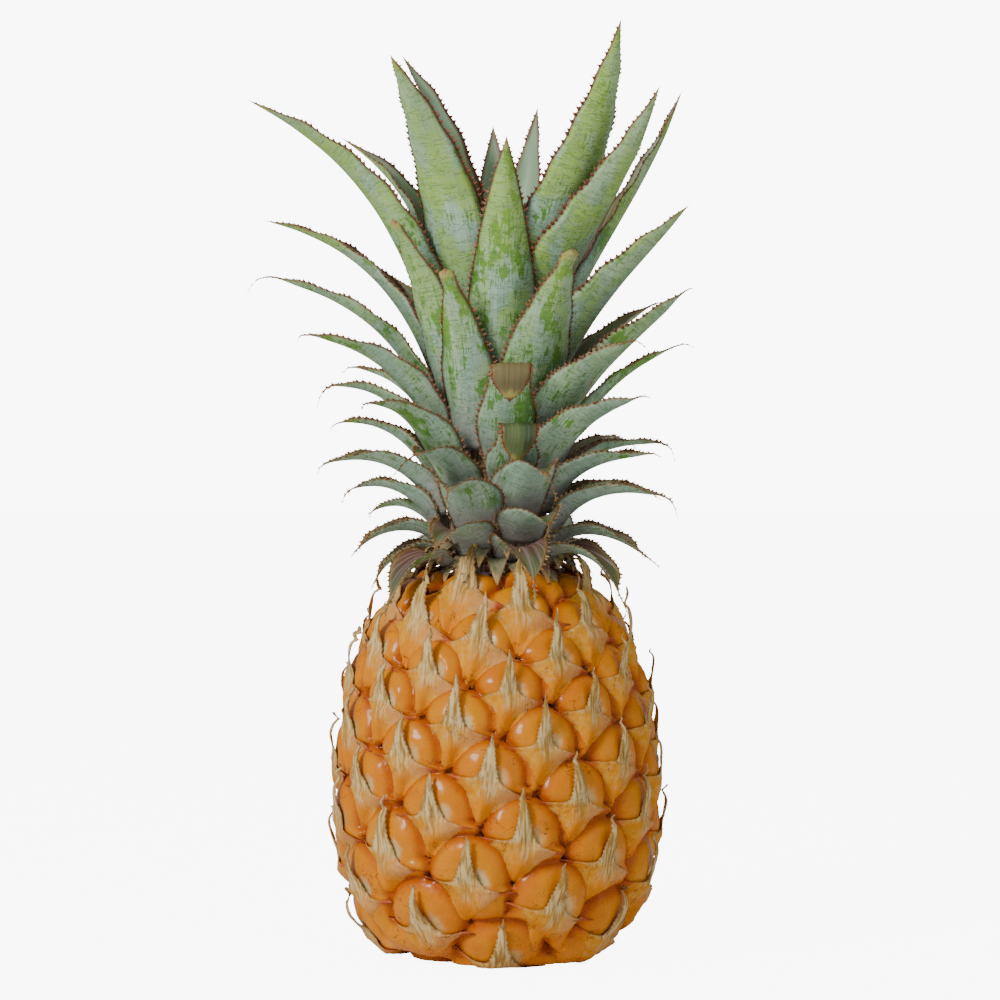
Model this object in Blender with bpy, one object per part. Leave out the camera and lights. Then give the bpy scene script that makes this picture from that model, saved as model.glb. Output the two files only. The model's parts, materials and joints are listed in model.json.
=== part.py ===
"""A whole pineapple with its crown of leaves, standing on its cut stalk.

The fruit, the cut end of its stalk, the short stem of the crown and every leaf are
separate closed bodies.  Lengths in this script are millimetres and angles are degrees;
meshes are written in metres.  +Z is up, the origin is the middle of the cut stalk, and
the side that faces -Y is the front.
"""

import math
from collections import namedtuple

import bmesh
import bpy
from mathutils import Vector
from mathutils.bvhtree import BVHTree

MM = 0.001
GAP = 0.3
GOLDEN_ANGLE = 137.508

# Fruit: (height, radius) of the skin between its bulges, from the stalk up to the crown.
SKIN_PROFILE = (
    (0.0, 21.0),
    (1.5, 27.5),
    (4.0, 33.8),
    (8.0, 39.2),
    (13.0, 43.4),
    (20.0, 47.6),
    (34.0, 51.6),
    (55.0, 53.4),
    (75.0, 52.6),
    (93.0, 49.6),
    (107.0, 44.8),
    (117.0, 38.8),
    (124.0, 32.5),
    (128.5, 26.0),
    (131.0, 18.0),
)
FRUIT_TOP = SKIN_PROFILE[-1][0]
SKIN_ROWS = 36
FRUIT_SEGMENTS = 64

# Eyes: the berries that the fruit is fused from, one step of the golden angle apart.
EYE_FIRST_AZIMUTH = 134.3
EYE_FIRST_HEIGHT = 3.0
EYE_RISE_TOP = 1.26
EYE_RISE_EXTRA_AT_BASE = 1.0
EYE_RISE_EVEN_FROM = 110.0
EYE_BULGE = 2.0
EYE_GROOVE = 1.6
EYE_SHOULDER = 7.0

STALK_RADIUS = 16.0
STALK_LENGTH = 5.0

# Crown stem with the packed leaf bases round it: (height, radius), from the fruit up.
STEM_PROFILE = (
    (131.3, 17.5),
    (150.0, 17.0),
    (170.0, 15.5),
    (186.0, 13.0),
    (198.0, 9.5),
    (204.0, 6.0),
    (206.0, 3.0),
)
ROUND_SEGMENTS = 24

# Leaves: where rings of points lie along a leaf, and where points lie across a ring.
LEAF_RINGS = (0.0, 0.1, 0.24, 0.4, 0.56, 0.72, 0.87)
LEAF_ACROSS = (-1.0, -0.5, 0.0, 0.5, 1.0)
LEAF_THICKNESS = 1.3
LEAF_GUTTER = 0.24
LEAF_ROOT_SHARE = 0.62
LEAF_TAPER_POWER = 2.2
LEAF_TAPER_SHARPNESS = 0.9
LEAF_SPARE = 0.4
PUSH_OUT = 0.3
PUSH_LEAN = 1.2
PUSH_LIMIT = 20

# One leaf: its azimuth round the stem (-90 is the front), the height where it leaves the
# stem, how far its tip reaches from the axis, the height of its tip, its lean from
# upright at the base and at the tip (90 is level, more than 90 hangs), its width, and
# the length of its end that is folded over and hangs down from there (0 is not folded).
Leaf = namedtuple("Leaf", "azimuth attach reach tip lean nod width flap", defaults=(0.0,))
FOLD_RADIUS = 1.4
FOLD_TURN = 176.0
FOLD_RINGS = 3
FOLD_WIDTH_SHARE = 0.62

SHOULDER_LEAVES = (
    Leaf(-34.0, 133.0, 49.0, 125.0, 30.0, 165.0, 17.0),
    Leaf(-142.0, 133.4, 45.0, 123.0, 32.0, 160.0, 18.0),
    Leaf(80.0, 133.2, 46.0, 124.0, 40.0, 150.0, 17.0),
    Leaf(-170.0, 133.8, 41.0, 129.5, 28.0, 155.0, 16.0),
    Leaf(-74.0, 134.6, 44.0, 130.0, 24.0, 160.0, 21.0),
    Leaf(30.0, 134.6, 44.0, 128.0, 38.0, 150.0, 16.0),
    Leaf(128.0, 135.2, 46.0, 130.0, 36.0, 140.0, 17.0),
    Leaf(-14.0, 136.4, 51.0, 137.0, 24.0, 128.0, 18.0),
    Leaf(-166.0, 137.0, 48.0, 139.4, 20.0, 135.0, 18.0),
    Leaf(-116.0, 136.8, 46.0, 141.0, 22.0, 128.0, 22.0),
)

LOWER_LEAVES = (
    Leaf(58.0, 139.0, 50.0, 139.0, 30.0, 130.0, 18.0),
    Leaf(-66.0, 141.4, 42.0, 148.0, 20.0, 120.0, 24.0),
    Leaf(156.0, 141.4, 46.0, 151.0, 26.0, 115.0, 18.0),
    Leaf(-20.0, 142.6, 60.0, 156.7, 22.0, 104.0, 20.0),
    Leaf(-170.0, 144.0, 50.0, 159.0, 20.0, 110.0, 19.0),
    Leaf(-110.0, 145.0, 47.0, 159.0, 20.0, 118.0, 25.0),
    Leaf(14.0, 144.8, 50.0, 158.8, 24.0, 104.0, 18.0),
    Leaf(-70.0, 149.0, 48.0, 165.0, 18.0, 114.0, 25.0),
    Leaf(-160.0, 150.4, 61.0, 168.0, 18.0, 106.0, 21.0),
    Leaf(-26.0, 151.0, 58.0, 171.4, 18.0, 84.0, 21.0),
    Leaf(-126.0, 152.0, 47.0, 171.0, 16.0, 104.0, 23.0),
    Leaf(34.0, 151.0, 54.0, 174.4, 22.0, 100.0, 18.0),
    Leaf(6.0, 153.0, 57.0, 174.0, 18.0, 95.0, 18.0),
    Leaf(84.0, 148.0, 54.0, 166.0, 24.0, 100.0, 20.0),
)

MIDDLE_LEAVES = (
    Leaf(176.0, 155.4, 54.0, 181.2, 18.0, 98.0, 18.0),
    Leaf(-80.0, 156.0, 41.0, 181.0, 30.0, 34.0, 20.0, 13.0),
    Leaf(-46.0, 158.6, 68.0, 190.7, 16.0, 74.0, 25.0),
    Leaf(120.0, 156.6, 56.0, 182.0, 20.0, 94.0, 20.0),
    Leaf(-138.0, 159.4, 58.0, 188.4, 14.0, 88.0, 23.0),
    Leaf(62.0, 159.4, 58.0, 192.0, 20.0, 86.0, 20.0),
    Leaf(-168.0, 161.8, 58.0, 193.5, 14.0, 98.0, 20.0),
    Leaf(-4.0, 162.4, 61.0, 207.4, 14.0, 66.0, 19.0),
    Leaf(-84.0, 164.6, 43.0, 201.0, 24.0, 28.0, 22.0, 12.0),
    Leaf(150.0, 163.0, 58.0, 200.0, 16.0, 84.0, 20.0),
    Leaf(-50.0, 167.4, 68.0, 209.0, 10.0, 66.0, 25.0),
    Leaf(96.0, 166.0, 56.0, 208.0, 14.0, 72.0, 21.0),
    Leaf(-156.0, 168.6, 70.0, 211.0, 10.0, 82.0, 24.0),
    Leaf(28.0, 169.0, 62.0, 222.0, 14.0, 62.0, 21.0),
    Leaf(-26.0, 171.6, 70.0, 225.8, 14.0, 48.0, 27.0),
    Leaf(-174.0, 171.6, 79.0, 230.5, 8.0, 80.0, 21.0),
    Leaf(-112.0, 172.6, 46.0, 233.0, 8.0, 34.0, 22.0),
)

UPPER_LEAVES = (
    Leaf(128.0, 173.0, 60.0, 232.0, 10.0, 56.0, 22.0),
    Leaf(-62.0, 176.4, 53.0, 239.4, 8.0, 32.0, 28.0),
    Leaf(72.0, 177.0, 58.0, 250.0, 8.0, 44.0, 22.0),
    Leaf(-134.0, 181.0, 50.0, 249.6, 6.0, 32.0, 24.0),
    Leaf(176.0, 180.6, 80.0, 250.2, 4.0, 78.0, 22.0),
    Leaf(-32.0, 183.0, 75.0, 254.0, 10.0, 46.0, 28.0),
    Leaf(-86.0, 185.0, 46.0, 276.4, 0.0, 22.0, 26.0),
    Leaf(-158.0, 187.0, 89.5, 289.0, 0.0, 66.0, 28.0),
    Leaf(158.0, 187.6, 58.0, 279.0, 2.0, 60.0, 26.0),
    Leaf(8.0, 189.0, 64.0, 294.8, 12.0, 20.0, 26.0),
    Leaf(-42.0, 191.0, 72.0, 292.7, 8.0, 24.0, 30.0),
    Leaf(92.0, 190.4, 40.0, 284.0, 2.0, 26.0, 22.0),
    Leaf(-122.0, 194.0, 66.0, 302.6, 0.0, 40.0, 30.0),
    Leaf(140.0, 194.0, 43.0, 307.7, 0.0, 40.0, 27.0),
    Leaf(-48.0, 196.4, 61.0, 314.8, 16.0, 8.0, 34.0),
    Leaf(64.0, 196.0, 32.0, 290.0, 4.0, 14.0, 20.0),
)

LEAVES = SHOULDER_LEAVES + LOWER_LEAVES + MIDDLE_LEAVES + UPPER_LEAVES


def clear_scene():
    for item in list(bpy.data.objects):
        bpy.data.objects.remove(item, do_unlink=True)


def smoothstep(low, high, value):
    share = min(max((value - low) / (high - low), 0.0), 1.0)
    return share * share * (3.0 - 2.0 * share)


def material(name, colour, roughness):
    made = bpy.data.materials.new(name)
    made.use_nodes = True
    shader = made.node_tree.nodes["Principled BSDF"]
    shader.inputs["Base Color"].default_value = (*colour, 1.0)
    shader.inputs["Roughness"].default_value = roughness
    shader.inputs["Metallic"].default_value = 0.0
    return made


def add_part(name, mesh_builder, finish, collection, sharp_angle=60.0):
    """Write a bmesh in millimetres as a named object in metres."""
    bmesh.ops.scale(mesh_builder, vec=(MM, MM, MM), verts=mesh_builder.verts)
    bmesh.ops.recalc_face_normals(mesh_builder, faces=mesh_builder.faces)
    mesh = bpy.data.meshes.new(name)
    mesh_builder.to_mesh(mesh)
    mesh_builder.free()
    mesh.materials.append(finish)
    mesh.shade_smooth()
    mesh.set_sharp_from_angle(angle=math.radians(sharp_angle))
    part = bpy.data.objects.new(name, mesh)
    collection.objects.link(part)
    return part


def outward(azimuth):
    angle = math.radians(azimuth)
    return Vector((math.cos(angle), math.sin(angle), 0.0))


def sideways(azimuth):
    angle = math.radians(azimuth)
    return Vector((-math.sin(angle), math.cos(angle), 0.0))


def skin_point(share):
    """Height and radius at a share of the way along the skin, on a smooth curve."""
    spot = share * (len(SKIN_PROFILE) - 1)
    index = min(int(spot), len(SKIN_PROFILE) - 2)
    t = spot - index
    last = len(SKIN_PROFILE) - 1
    knots = [SKIN_PROFILE[min(max(index + step, 0), last)] for step in (-1, 0, 1, 2)]
    point = []
    for a, b, c, d in zip(*knots):
        bend = 2.0 * b + (c - a) * t + (2.0 * a - 5.0 * b + 4.0 * c - d) * t * t
        point.append(0.5 * (bend + (3.0 * b - a - 3.0 * c + d) * t**3))
    return point[0], point[1]


def eye_centres():
    """Azimuth and height of every eye, climbing the fruit by the golden angle."""
    centres = []
    azimuth = EYE_FIRST_AZIMUTH
    height = EYE_FIRST_HEIGHT
    while height < FRUIT_TOP - 2.0:
        centres.append((azimuth, height))
        low = max(1.0 - height / EYE_RISE_EVEN_FROM, 0.0)
        height += EYE_RISE_TOP + EYE_RISE_EXTRA_AT_BASE * low * low
        azimuth += GOLDEN_ANGLE
    return centres


def eye_relief(azimuth, height, radius, centres):
    """How far the skin stands out here: full on an eye, sunk in the groove beside it."""
    distances = []
    for eye_azimuth, eye_height in centres:
        turn = (azimuth - eye_azimuth + 180.0) % 360.0 - 180.0
        distances.append(math.hypot(math.radians(turn) * radius, height - eye_height))
    distances.sort()
    raised = smoothstep(0.0, EYE_SHOULDER, distances[1] - distances[0])
    return raised * (EYE_BULGE + EYE_GROOVE) - EYE_GROOVE


def make_fruit(finish, collection):
    """A turned body with a socket for the stalk, its skin raised into eyes."""
    profile = [(STALK_LENGTH + GAP, 0.0), (STALK_LENGTH + GAP, STALK_RADIUS + GAP)]
    profile.append((0.0, STALK_RADIUS + GAP))
    profile += [skin_point(row / SKIN_ROWS) for row in range(SKIN_ROWS + 1)]
    profile.append((FRUIT_TOP, 0.0))
    builder = bmesh.new()
    turn(builder, profile, FRUIT_SEGMENTS)
    centres = eye_centres()
    for vert in builder.verts:
        radius = math.hypot(vert.co.x, vert.co.y)
        height = vert.co.z
        fade = smoothstep(0.5, 6.0, height) * smoothstep(19.0, 26.0, radius)
        if radius < STALK_RADIUS + 1.0 or fade == 0.0:
            continue
        azimuth = math.degrees(math.atan2(vert.co.y, vert.co.x))
        grow = 1.0 + fade * eye_relief(azimuth, height, radius, centres) / radius
        vert.co.x *= grow
        vert.co.y *= grow
    return add_part("fruit", builder, finish, collection)


def turn(builder, profile, segments):
    """Turn a (height, radius) profile about the upright axis into a closed body."""
    outline = [builder.verts.new((radius, 0.0, height)) for height, radius in profile]
    edges = [builder.edges.new(pair) for pair in zip(outline, outline[1:])]
    bmesh.ops.spin(
        builder,
        geom=outline + edges,
        axis=(0.0, 0.0, 1.0),
        cent=(0.0, 0.0, 0.0),
        steps=segments,
        angle=2.0 * math.pi,
        use_merge=True,
    )
    bmesh.ops.remove_doubles(builder, verts=builder.verts, dist=0.01)


def make_stalk(finish, collection):
    builder = bmesh.new()
    profile = [(STALK_LENGTH, 0.0), (STALK_LENGTH, STALK_RADIUS), (0.0, STALK_RADIUS), (0.0, 0.0)]
    turn(builder, profile, ROUND_SEGMENTS)
    return add_part("cut_stalk", builder, finish, collection)


def make_stem(finish, collection):
    builder = bmesh.new()
    profile = [(STEM_PROFILE[0][0], 0.0), *STEM_PROFILE, (STEM_PROFILE[-1][0], 0.0)]
    turn(builder, profile, ROUND_SEGMENTS)
    return add_part("crown_stem", builder, finish, collection)


def stem_radius(height):
    for (low, low_radius), (high, high_radius) in zip(STEM_PROFILE, STEM_PROFILE[1:]):
        if height <= high:
            share = (height - low) / (high - low)
            return low_radius + (high_radius - low_radius) * share
    return STEM_PROFILE[-1][1]


def leaf_line(leaf, push):
    """Centre line of a leaf: a Bezier curve in the upright plane through its azimuth."""
    out = outward(leaf.azimuth)
    up = Vector((0.0, 0.0, 1.0))
    root_radius = stem_radius(leaf.attach) + GAP + LEAF_THICKNESS + push * PUSH_OUT
    root = out * root_radius + up * leaf.attach
    tip = out * leaf.reach + up * leaf.tip
    handle = (tip - root).length * 0.4
    lean = math.radians(leaf.lean + push * PUSH_LEAN)
    nod = math.radians(leaf.nod)
    root_handle = root + (out * math.sin(lean) + up * math.cos(lean)) * handle
    tip_handle = tip - (out * math.sin(nod) + up * math.cos(nod)) * handle
    return root, root_handle, tip_handle, tip


def bezier(points, t):
    a, b, c, d = points
    s = 1.0 - t
    spot = a * s**3 + b * (3.0 * s * s * t) + c * (3.0 * s * t * t) + d * t**3
    along = (b - a) * (s * s) + (c - b) * (2.0 * s * t) + (d - c) * (t * t)
    return spot, along.normalized()


def blade_stations(leaf, push):
    """Where the rings of an unfolded leaf lie: spot, direction, half width, gutter depth."""
    line = leaf_line(leaf, push)
    root_radius = math.hypot(line[0].x, line[0].y)
    stations = []
    for t in LEAF_RINGS:
        spot, along = bezier(line, t)
        widen = LEAF_ROOT_SHARE + (1.0 - LEAF_ROOT_SHARE) * smoothstep(0.0, 0.35, t)
        taper = (1.0 - t**LEAF_TAPER_POWER) ** LEAF_TAPER_SHARPNESS
        half = 0.5 * leaf.width * widen * taper
        hugging = half * half / (2.0 * root_radius)
        free = smoothstep(0.0, 0.3, t)
        cup = hugging * (1.0 - free) + LEAF_GUTTER * 2.0 * half * free
        stations.append((spot, along, half, cup))
    return stations, line[3]


def folded_stations(leaf, push):
    """The same for a leaf whose end is folded over outwards and hangs as a flat flap."""
    line = leaf_line(leaf, push)
    root_radius = math.hypot(line[0].x, line[0].y)
    out = outward(leaf.azimuth)
    up = Vector((0.0, 0.0, 1.0))
    stations = []
    for t in LEAF_RINGS[:-1]:
        spot, along = bezier(line, t / LEAF_RINGS[-2] * 0.96)
        narrow = 1.0 - (1.0 - FOLD_WIDTH_SHARE) * smoothstep(0.35, 1.0, t / LEAF_RINGS[-2])
        widen = LEAF_ROOT_SHARE + (1.0 - LEAF_ROOT_SHARE) * smoothstep(0.0, 0.4, t)
        half = 0.5 * leaf.width * widen * narrow
        free = smoothstep(0.0, 0.2, t) * (1.0 - smoothstep(0.45, 0.72, t))
        hugging = half * half / (2.0 * root_radius) * (1.0 - smoothstep(0.0, 0.4, t))
        stations.append((spot, along, half, hugging + LEAF_GUTTER * half * free))
    half = 0.5 * leaf.width * FOLD_WIDTH_SHARE
    start = math.radians(leaf.nod)
    centre = line[3] + (out * math.cos(start) - up * math.sin(start)) * FOLD_RADIUS
    for ring in range(1, FOLD_RINGS + 1):
        turned = start + math.radians(FOLD_TURN) * ring / FOLD_RINGS
        along = out * math.sin(turned) + up * math.cos(turned)
        spot = centre - (out * math.cos(turned) - up * math.sin(turned)) * FOLD_RADIUS
        stations.append((spot, along, half, 0.0))
    stations.append((spot + along * leaf.flap * 0.55, along, half * 0.72, 0.0))
    return stations, spot + along * leaf.flap


def leaf_mesh(leaf, push, spare):
    """A gutter-shaped blade, lofted through its stations to one point at the tip.

    spare is added all round, to test that a leaf is clear of its neighbours.
    """
    side = sideways(leaf.azimuth)
    stations, tip_spot = (folded_stations if leaf.flap else blade_stations)(leaf, push)
    builder = bmesh.new()
    rings = []
    for index, (spot, along, half, cup) in enumerate(stations):
        inner = along.cross(side)
        thinning = 1.0 - 0.4 * index / len(stations)
        thick = 0.5 * LEAF_THICKNESS * thinning + spare
        outer_row = []
        inner_row = []
        for across in LEAF_ACROSS:
            aside = across * (half + spare)
            middle = spot + side * aside + inner * (cup * (aside / half) ** 2)
            swell = inner * (thick * (1.0 - across**2 * 0.6))
            if abs(across) == 1.0:
                outer_row.append(middle)
            else:
                outer_row.append(middle - swell)
                inner_row.append(middle + swell)
        ring = outer_row + inner_row[::-1]
        rings.append([builder.verts.new(point) for point in ring])
    tip = builder.verts.new(tip_spot + stations[-1][1] * spare)
    count = len(rings[0])
    for lower, upper in zip(rings, rings[1:]):
        for i in range(count):
            j = (i + 1) % count
            builder.faces.new((lower[i], lower[j], upper[j], upper[i]))
    for i in range(count):
        builder.faces.new((rings[-1][i], rings[-1][(i + 1) % count], tip))
    builder.faces.new(rings[0][::-1])
    bmesh.ops.triangulate(builder, faces=builder.faces, quad_method="FIXED")
    return builder


def make_leaves(finish, collection):
    """Innermost leaf first; each one leans out until it clears those inside it."""
    placed = []
    for number in range(len(LEAVES), 0, -1):
        leaf = LEAVES[number - 1]
        for push in range(PUSH_LIMIT):
            trial = leaf_mesh(leaf, push, LEAF_SPARE)
            tree = BVHTree.FromBMesh(trial)
            trial.free()
            if not any(tree.overlap(other) for other in placed):
                break
        builder = leaf_mesh(leaf, push, 0.0)
        placed.append(BVHTree.FromBMesh(builder))
        add_part(f"leaf_{number:02d}", builder, finish, collection)


def main():
    clear_scene()
    collection = bpy.data.collections.new("pineapple")
    bpy.context.scene.collection.children.link(collection)
    rind = material("rind", (0.85, 0.42, 0.03), 0.35)
    leaf = material("leaf", (0.36, 0.5, 0.32), 0.55)
    stalk = material("stalk", (0.2, 0.12, 0.06), 0.85)
    stem = material("stem", (0.55, 0.5, 0.36), 0.7)
    make_fruit(rind, collection)
    make_stalk(stalk, collection)
    make_stem(stem, collection)
    make_leaves(leaf, collection)


main()
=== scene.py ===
# %% [markdown]
# # A pineapple with its crown
#
# A pineapple is many berries fused into one body. Each berry shows outside as an *eye*: a
# glossy bulge with a papery scale, the bract, standing over it. The eyes climb the fruit by
# the golden angle, and the leaves of the crown carry the same spiral on. This script dresses
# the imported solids: a skin of eyes and bracts made by Geometry Nodes, and fine leaves lofted
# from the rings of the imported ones, with a row of thorns along every edge.

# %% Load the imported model
import json
import math

import bmesh
import bpy
import numpy as np
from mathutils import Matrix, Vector

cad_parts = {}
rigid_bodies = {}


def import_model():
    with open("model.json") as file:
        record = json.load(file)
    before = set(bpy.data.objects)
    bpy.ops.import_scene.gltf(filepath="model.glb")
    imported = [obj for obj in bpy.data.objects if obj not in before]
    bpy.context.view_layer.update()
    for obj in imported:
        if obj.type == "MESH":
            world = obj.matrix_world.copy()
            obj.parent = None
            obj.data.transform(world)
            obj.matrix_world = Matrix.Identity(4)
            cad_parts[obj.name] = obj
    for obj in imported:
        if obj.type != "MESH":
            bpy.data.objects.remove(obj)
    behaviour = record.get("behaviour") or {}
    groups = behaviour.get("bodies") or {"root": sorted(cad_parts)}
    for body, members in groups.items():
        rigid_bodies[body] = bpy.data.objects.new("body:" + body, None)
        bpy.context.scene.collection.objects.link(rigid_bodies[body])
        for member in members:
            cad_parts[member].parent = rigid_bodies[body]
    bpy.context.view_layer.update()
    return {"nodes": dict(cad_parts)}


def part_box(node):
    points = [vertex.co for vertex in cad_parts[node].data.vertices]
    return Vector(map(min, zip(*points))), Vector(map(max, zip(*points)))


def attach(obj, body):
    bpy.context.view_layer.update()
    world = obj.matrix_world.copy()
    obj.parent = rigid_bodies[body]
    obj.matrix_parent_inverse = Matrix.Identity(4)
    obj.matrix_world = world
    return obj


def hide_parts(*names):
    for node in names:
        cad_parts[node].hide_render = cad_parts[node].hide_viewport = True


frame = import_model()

MM = 0.001
LEAF_NODES = sorted(name for name in frame["nodes"] if name.startswith("leaf_"))
FRUIT_LOW, FRUIT_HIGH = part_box("fruit")
FRUIT_TOP = FRUIT_HIGH.z / MM
print(f"{len(LEAF_NODES)} leaves, fruit {FRUIT_TOP:.0f} mm tall")

# %% [markdown]
# ## Small helpers
#
# A node tree reads best when one line makes one node. `add_node` makes a node and fills its
# inputs, each either from another node's output or with a plain value; `calc` and `vector`
# are the same for the two maths nodes.


# %% Node helpers
def feed(tree, socket, value):
    """Link a socket to an output, or give it a plain value."""
    if isinstance(value, bpy.types.NodeSocket):
        tree.links.new(value, socket)
    elif value is not None:
        socket.default_value = value


def add_node(tree, kind, inputs=None, **settings):
    made = tree.nodes.new(kind)
    for key, value in settings.items():
        setattr(made, key, value)
    for key, value in (inputs or {}).items():
        feed(tree, made.inputs[key], value)
    return made


def calc(tree, operation, *values, clamp=False):
    made = add_node(tree, "ShaderNodeMath", operation=operation, use_clamp=clamp)
    for socket, value in zip(made.inputs, values):
        feed(tree, socket, value)
    return made.outputs[0]


def vector(tree, operation, *values):
    made = add_node(tree, "ShaderNodeVectorMath", operation=operation)
    for socket, value in zip(made.inputs, values):
        feed(tree, socket, value)
    plain = operation in ("DOT_PRODUCT", "LENGTH", "DISTANCE")
    return made.outputs["Value" if plain else "Vector"]


def times(tree, first, second):
    return calc(tree, "MULTIPLY", first, second)


def plus(tree, first, second):
    return calc(tree, "ADD", first, second)


def minus(tree, first, second):
    return calc(tree, "SUBTRACT", first, second)


def scaled(tree, direction, length):
    """A direction made as long as a value says."""
    made = add_node(tree, "ShaderNodeVectorMath", {0: direction}, operation="SCALE")
    feed(tree, made.inputs["Scale"], length)
    return made.outputs[0]


def ramp(tree, value, low, high, to_low=0.0, to_high=1.0, smooth=True):
    """Ease a value from one range to another."""
    made = add_node(tree, "ShaderNodeMapRange")
    made.interpolation_type = "SMOOTHSTEP" if smooth else "LINEAR"
    for socket, given in zip(made.inputs, (value, low, high, to_low, to_high)):
        feed(tree, socket, given)
    return made.outputs["Result"]


def add_socket(tree, name, kind, direction="INPUT", value=None):
    made = tree.interface.new_socket(name, in_out=direction, socket_type=kind)
    if value is not None:
        made.default_value = value
    return made


# %% Mesh helpers
def new_object(name, mesh):
    made = bpy.data.objects.new(name, mesh)
    bpy.context.scene.collection.objects.link(made)
    return made


def plain_mesh(name, points, faces, edges=()):
    """A mesh from points in millimetres."""
    mesh = bpy.data.meshes.new(name)
    mesh.from_pydata([Vector(p) * MM for p in points], list(edges), faces)
    return mesh


def set_values(mesh, name, kind, domain, values):
    """Store one value for each point, face or corner under a name."""
    layer = mesh.attributes.new(name, kind, domain)
    field = "vector" if kind in ("FLOAT_VECTOR", "FLOAT2") else "value"
    layer.data.foreach_set(field, np.asarray(values, dtype=np.float32).ravel())


def run_nodes(holder, tree, values, name):
    """Run a Geometry Nodes tree on an object and return the result as a plain piece."""
    modifier = holder.modifiers.new("rule", "NODES")
    modifier.node_group = tree
    for item in tree.interface.items_tree:
        if item.in_out == "INPUT" and item.name in values:
            modifier[item.identifier] = values[item.name]
    graph = bpy.context.evaluated_depsgraph_get()
    mesh = bpy.data.meshes.new_from_object(holder.evaluated_get(graph))
    holder.modifiers.remove(modifier)
    bpy.data.objects.remove(holder)
    mesh.name = name
    return new_object(name, mesh)


def new_tree(name, inputs, result="Geometry"):
    """A tree with named inputs, each a starting value or the kind of thing it takes."""
    tree = bpy.data.node_groups.new(name, "GeometryNodeTree")
    for label, value in inputs.items():
        kind = value if isinstance(value, str) else "Int" if isinstance(value, int) else "Float"
        start = None if isinstance(value, str) else value
        add_socket(tree, label, f"NodeSocket{kind}", value=start)
    kind = result if result == "Geometry" else "Float"
    add_socket(tree, result, f"NodeSocket{kind}", "OUTPUT")
    return tree, tree.nodes.new("NodeGroupInput").outputs, tree.nodes.new("NodeGroupOutput").inputs


def with_finish(tree, geometry, finish):
    return add_node(
        tree, "GeometryNodeSetMaterial", {"Geometry": geometry, "Material": finish}
    ).outputs[0]


def gathered(name, objects):
    """A collection of shapes that a tree picks from."""
    everything = bpy.context.scene.collection
    group = bpy.data.collections.new(name)
    everything.children.link(group)
    for made in objects:
        everything.objects.unlink(made)
        group.objects.link(made)
    return group


def clear_away(group):
    for made in list(group.objects):
        bpy.data.objects.remove(made)
    bpy.data.collections.remove(group)


def picked(tree, group, last, seed):
    """The shapes of a collection, and a random number that picks one of them."""
    shapes = add_node(
        tree,
        "GeometryNodeCollectionInfo",
        {"Collection": group, "Separate Children": True, "Reset Children": True},
    )
    pick = add_node(tree, "FunctionNodeRandomValue", data_type="INT")
    pick.inputs[4].default_value = 0
    pick.inputs[5].default_value = last
    feed(tree, pick.inputs["Seed"], seed)
    return shapes.outputs[0], pick.outputs[2]


def smoothstep(low, high, value):
    share = np.clip((np.asarray(value, float) - low) / (high - low), 0.0, 1.0)
    return share * share * (3.0 - 2.0 * share)


def merged_copy(node):
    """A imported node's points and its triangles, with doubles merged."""
    builder = bmesh.new()
    builder.from_mesh(frame["nodes"][node].data)
    bmesh.ops.remove_doubles(builder, verts=builder.verts, dist=0.002 * MM)
    builder.verts.ensure_lookup_table()
    return builder


# %% [markdown]
# ## Surface effects that several finishes share
#
# Skin that grew is never one colour. Two small shader groups give every finish its
# variation: `mottle` makes a mask of soft patches, and `flecks` a mask of thin broken marks.
# Each is a group with named inputs, so that each material places it with its own sizes, and
# stretching the coordinates first turns patches into streaks and marks into cracks.


# %% Shader groups
def shader_group(name, inputs, outputs):
    tree = bpy.data.node_groups.new(name, "ShaderNodeTree")
    for label, kind, value in inputs:
        add_socket(tree, label, kind, value=value)
    for label, kind in outputs:
        add_socket(tree, label, kind, "OUTPUT")
    return tree, tree.nodes.new("NodeGroupInput").outputs, tree.nodes.new("NodeGroupOutput").inputs


def make_mottle():
    """A soft mask of patches: coordinates in, a value from 0 to 1 out."""
    tree, given, out = shader_group(
        "mottle",
        [
            ("Coordinates", "NodeSocketVector", None),
            ("Scale", "NodeSocketFloat", 1.0),
            ("Detail", "NodeSocketFloat", 3.0),
            ("From", "NodeSocketFloat", 0.4),
            ("To", "NodeSocketFloat", 0.6),
        ],
        [("Mask", "NodeSocketFloat"), ("Noise", "NodeSocketFloat")],
    )
    noise = add_node(
        tree,
        "ShaderNodeTexNoise",
        {"Vector": given["Coordinates"], "Scale": given["Scale"], "Detail": given["Detail"]},
    )
    mask = ramp(tree, noise.outputs["Fac"], given["From"], given["To"])
    feed(tree, out["Mask"], mask)
    feed(tree, out["Noise"], noise.outputs["Fac"])
    return tree


def make_flecks():
    """Thin broken marks: ridges of one noise, kept only where another is high."""
    tree, given, out = shader_group(
        "flecks",
        [
            ("Coordinates", "NodeSocketVector", None),
            ("Scale", "NodeSocketFloat", 1.0),
            ("Width", "NodeSocketFloat", 0.02),
            ("Rarity", "NodeSocketFloat", 0.6),
        ],
        [("Mask", "NodeSocketFloat")],
    )
    lines = add_node(
        tree,
        "ShaderNodeTexNoise",
        {"Vector": given["Coordinates"], "Scale": given["Scale"], "Detail": 4.0},
    )
    apart = vector(tree, "ADD", given["Coordinates"], (37.0, 11.0, 5.0))
    where = add_node(
        tree,
        "ShaderNodeTexNoise",
        {"Vector": apart, "Scale": times(tree, given["Scale"], 0.35)},
    )
    ridge = calc(tree, "ABSOLUTE", minus(tree, lines.outputs["Fac"], 0.5))
    thin = ramp(tree, ridge, 0.0, given["Width"], 1.0, 0.0)
    kept = ramp(tree, where.outputs["Fac"], given["Rarity"], plus(tree, given["Rarity"], 0.06))
    feed(tree, out["Mask"], times(tree, thin, kept))
    return tree


MOTTLE = make_mottle()
FLECKS = make_flecks()


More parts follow.
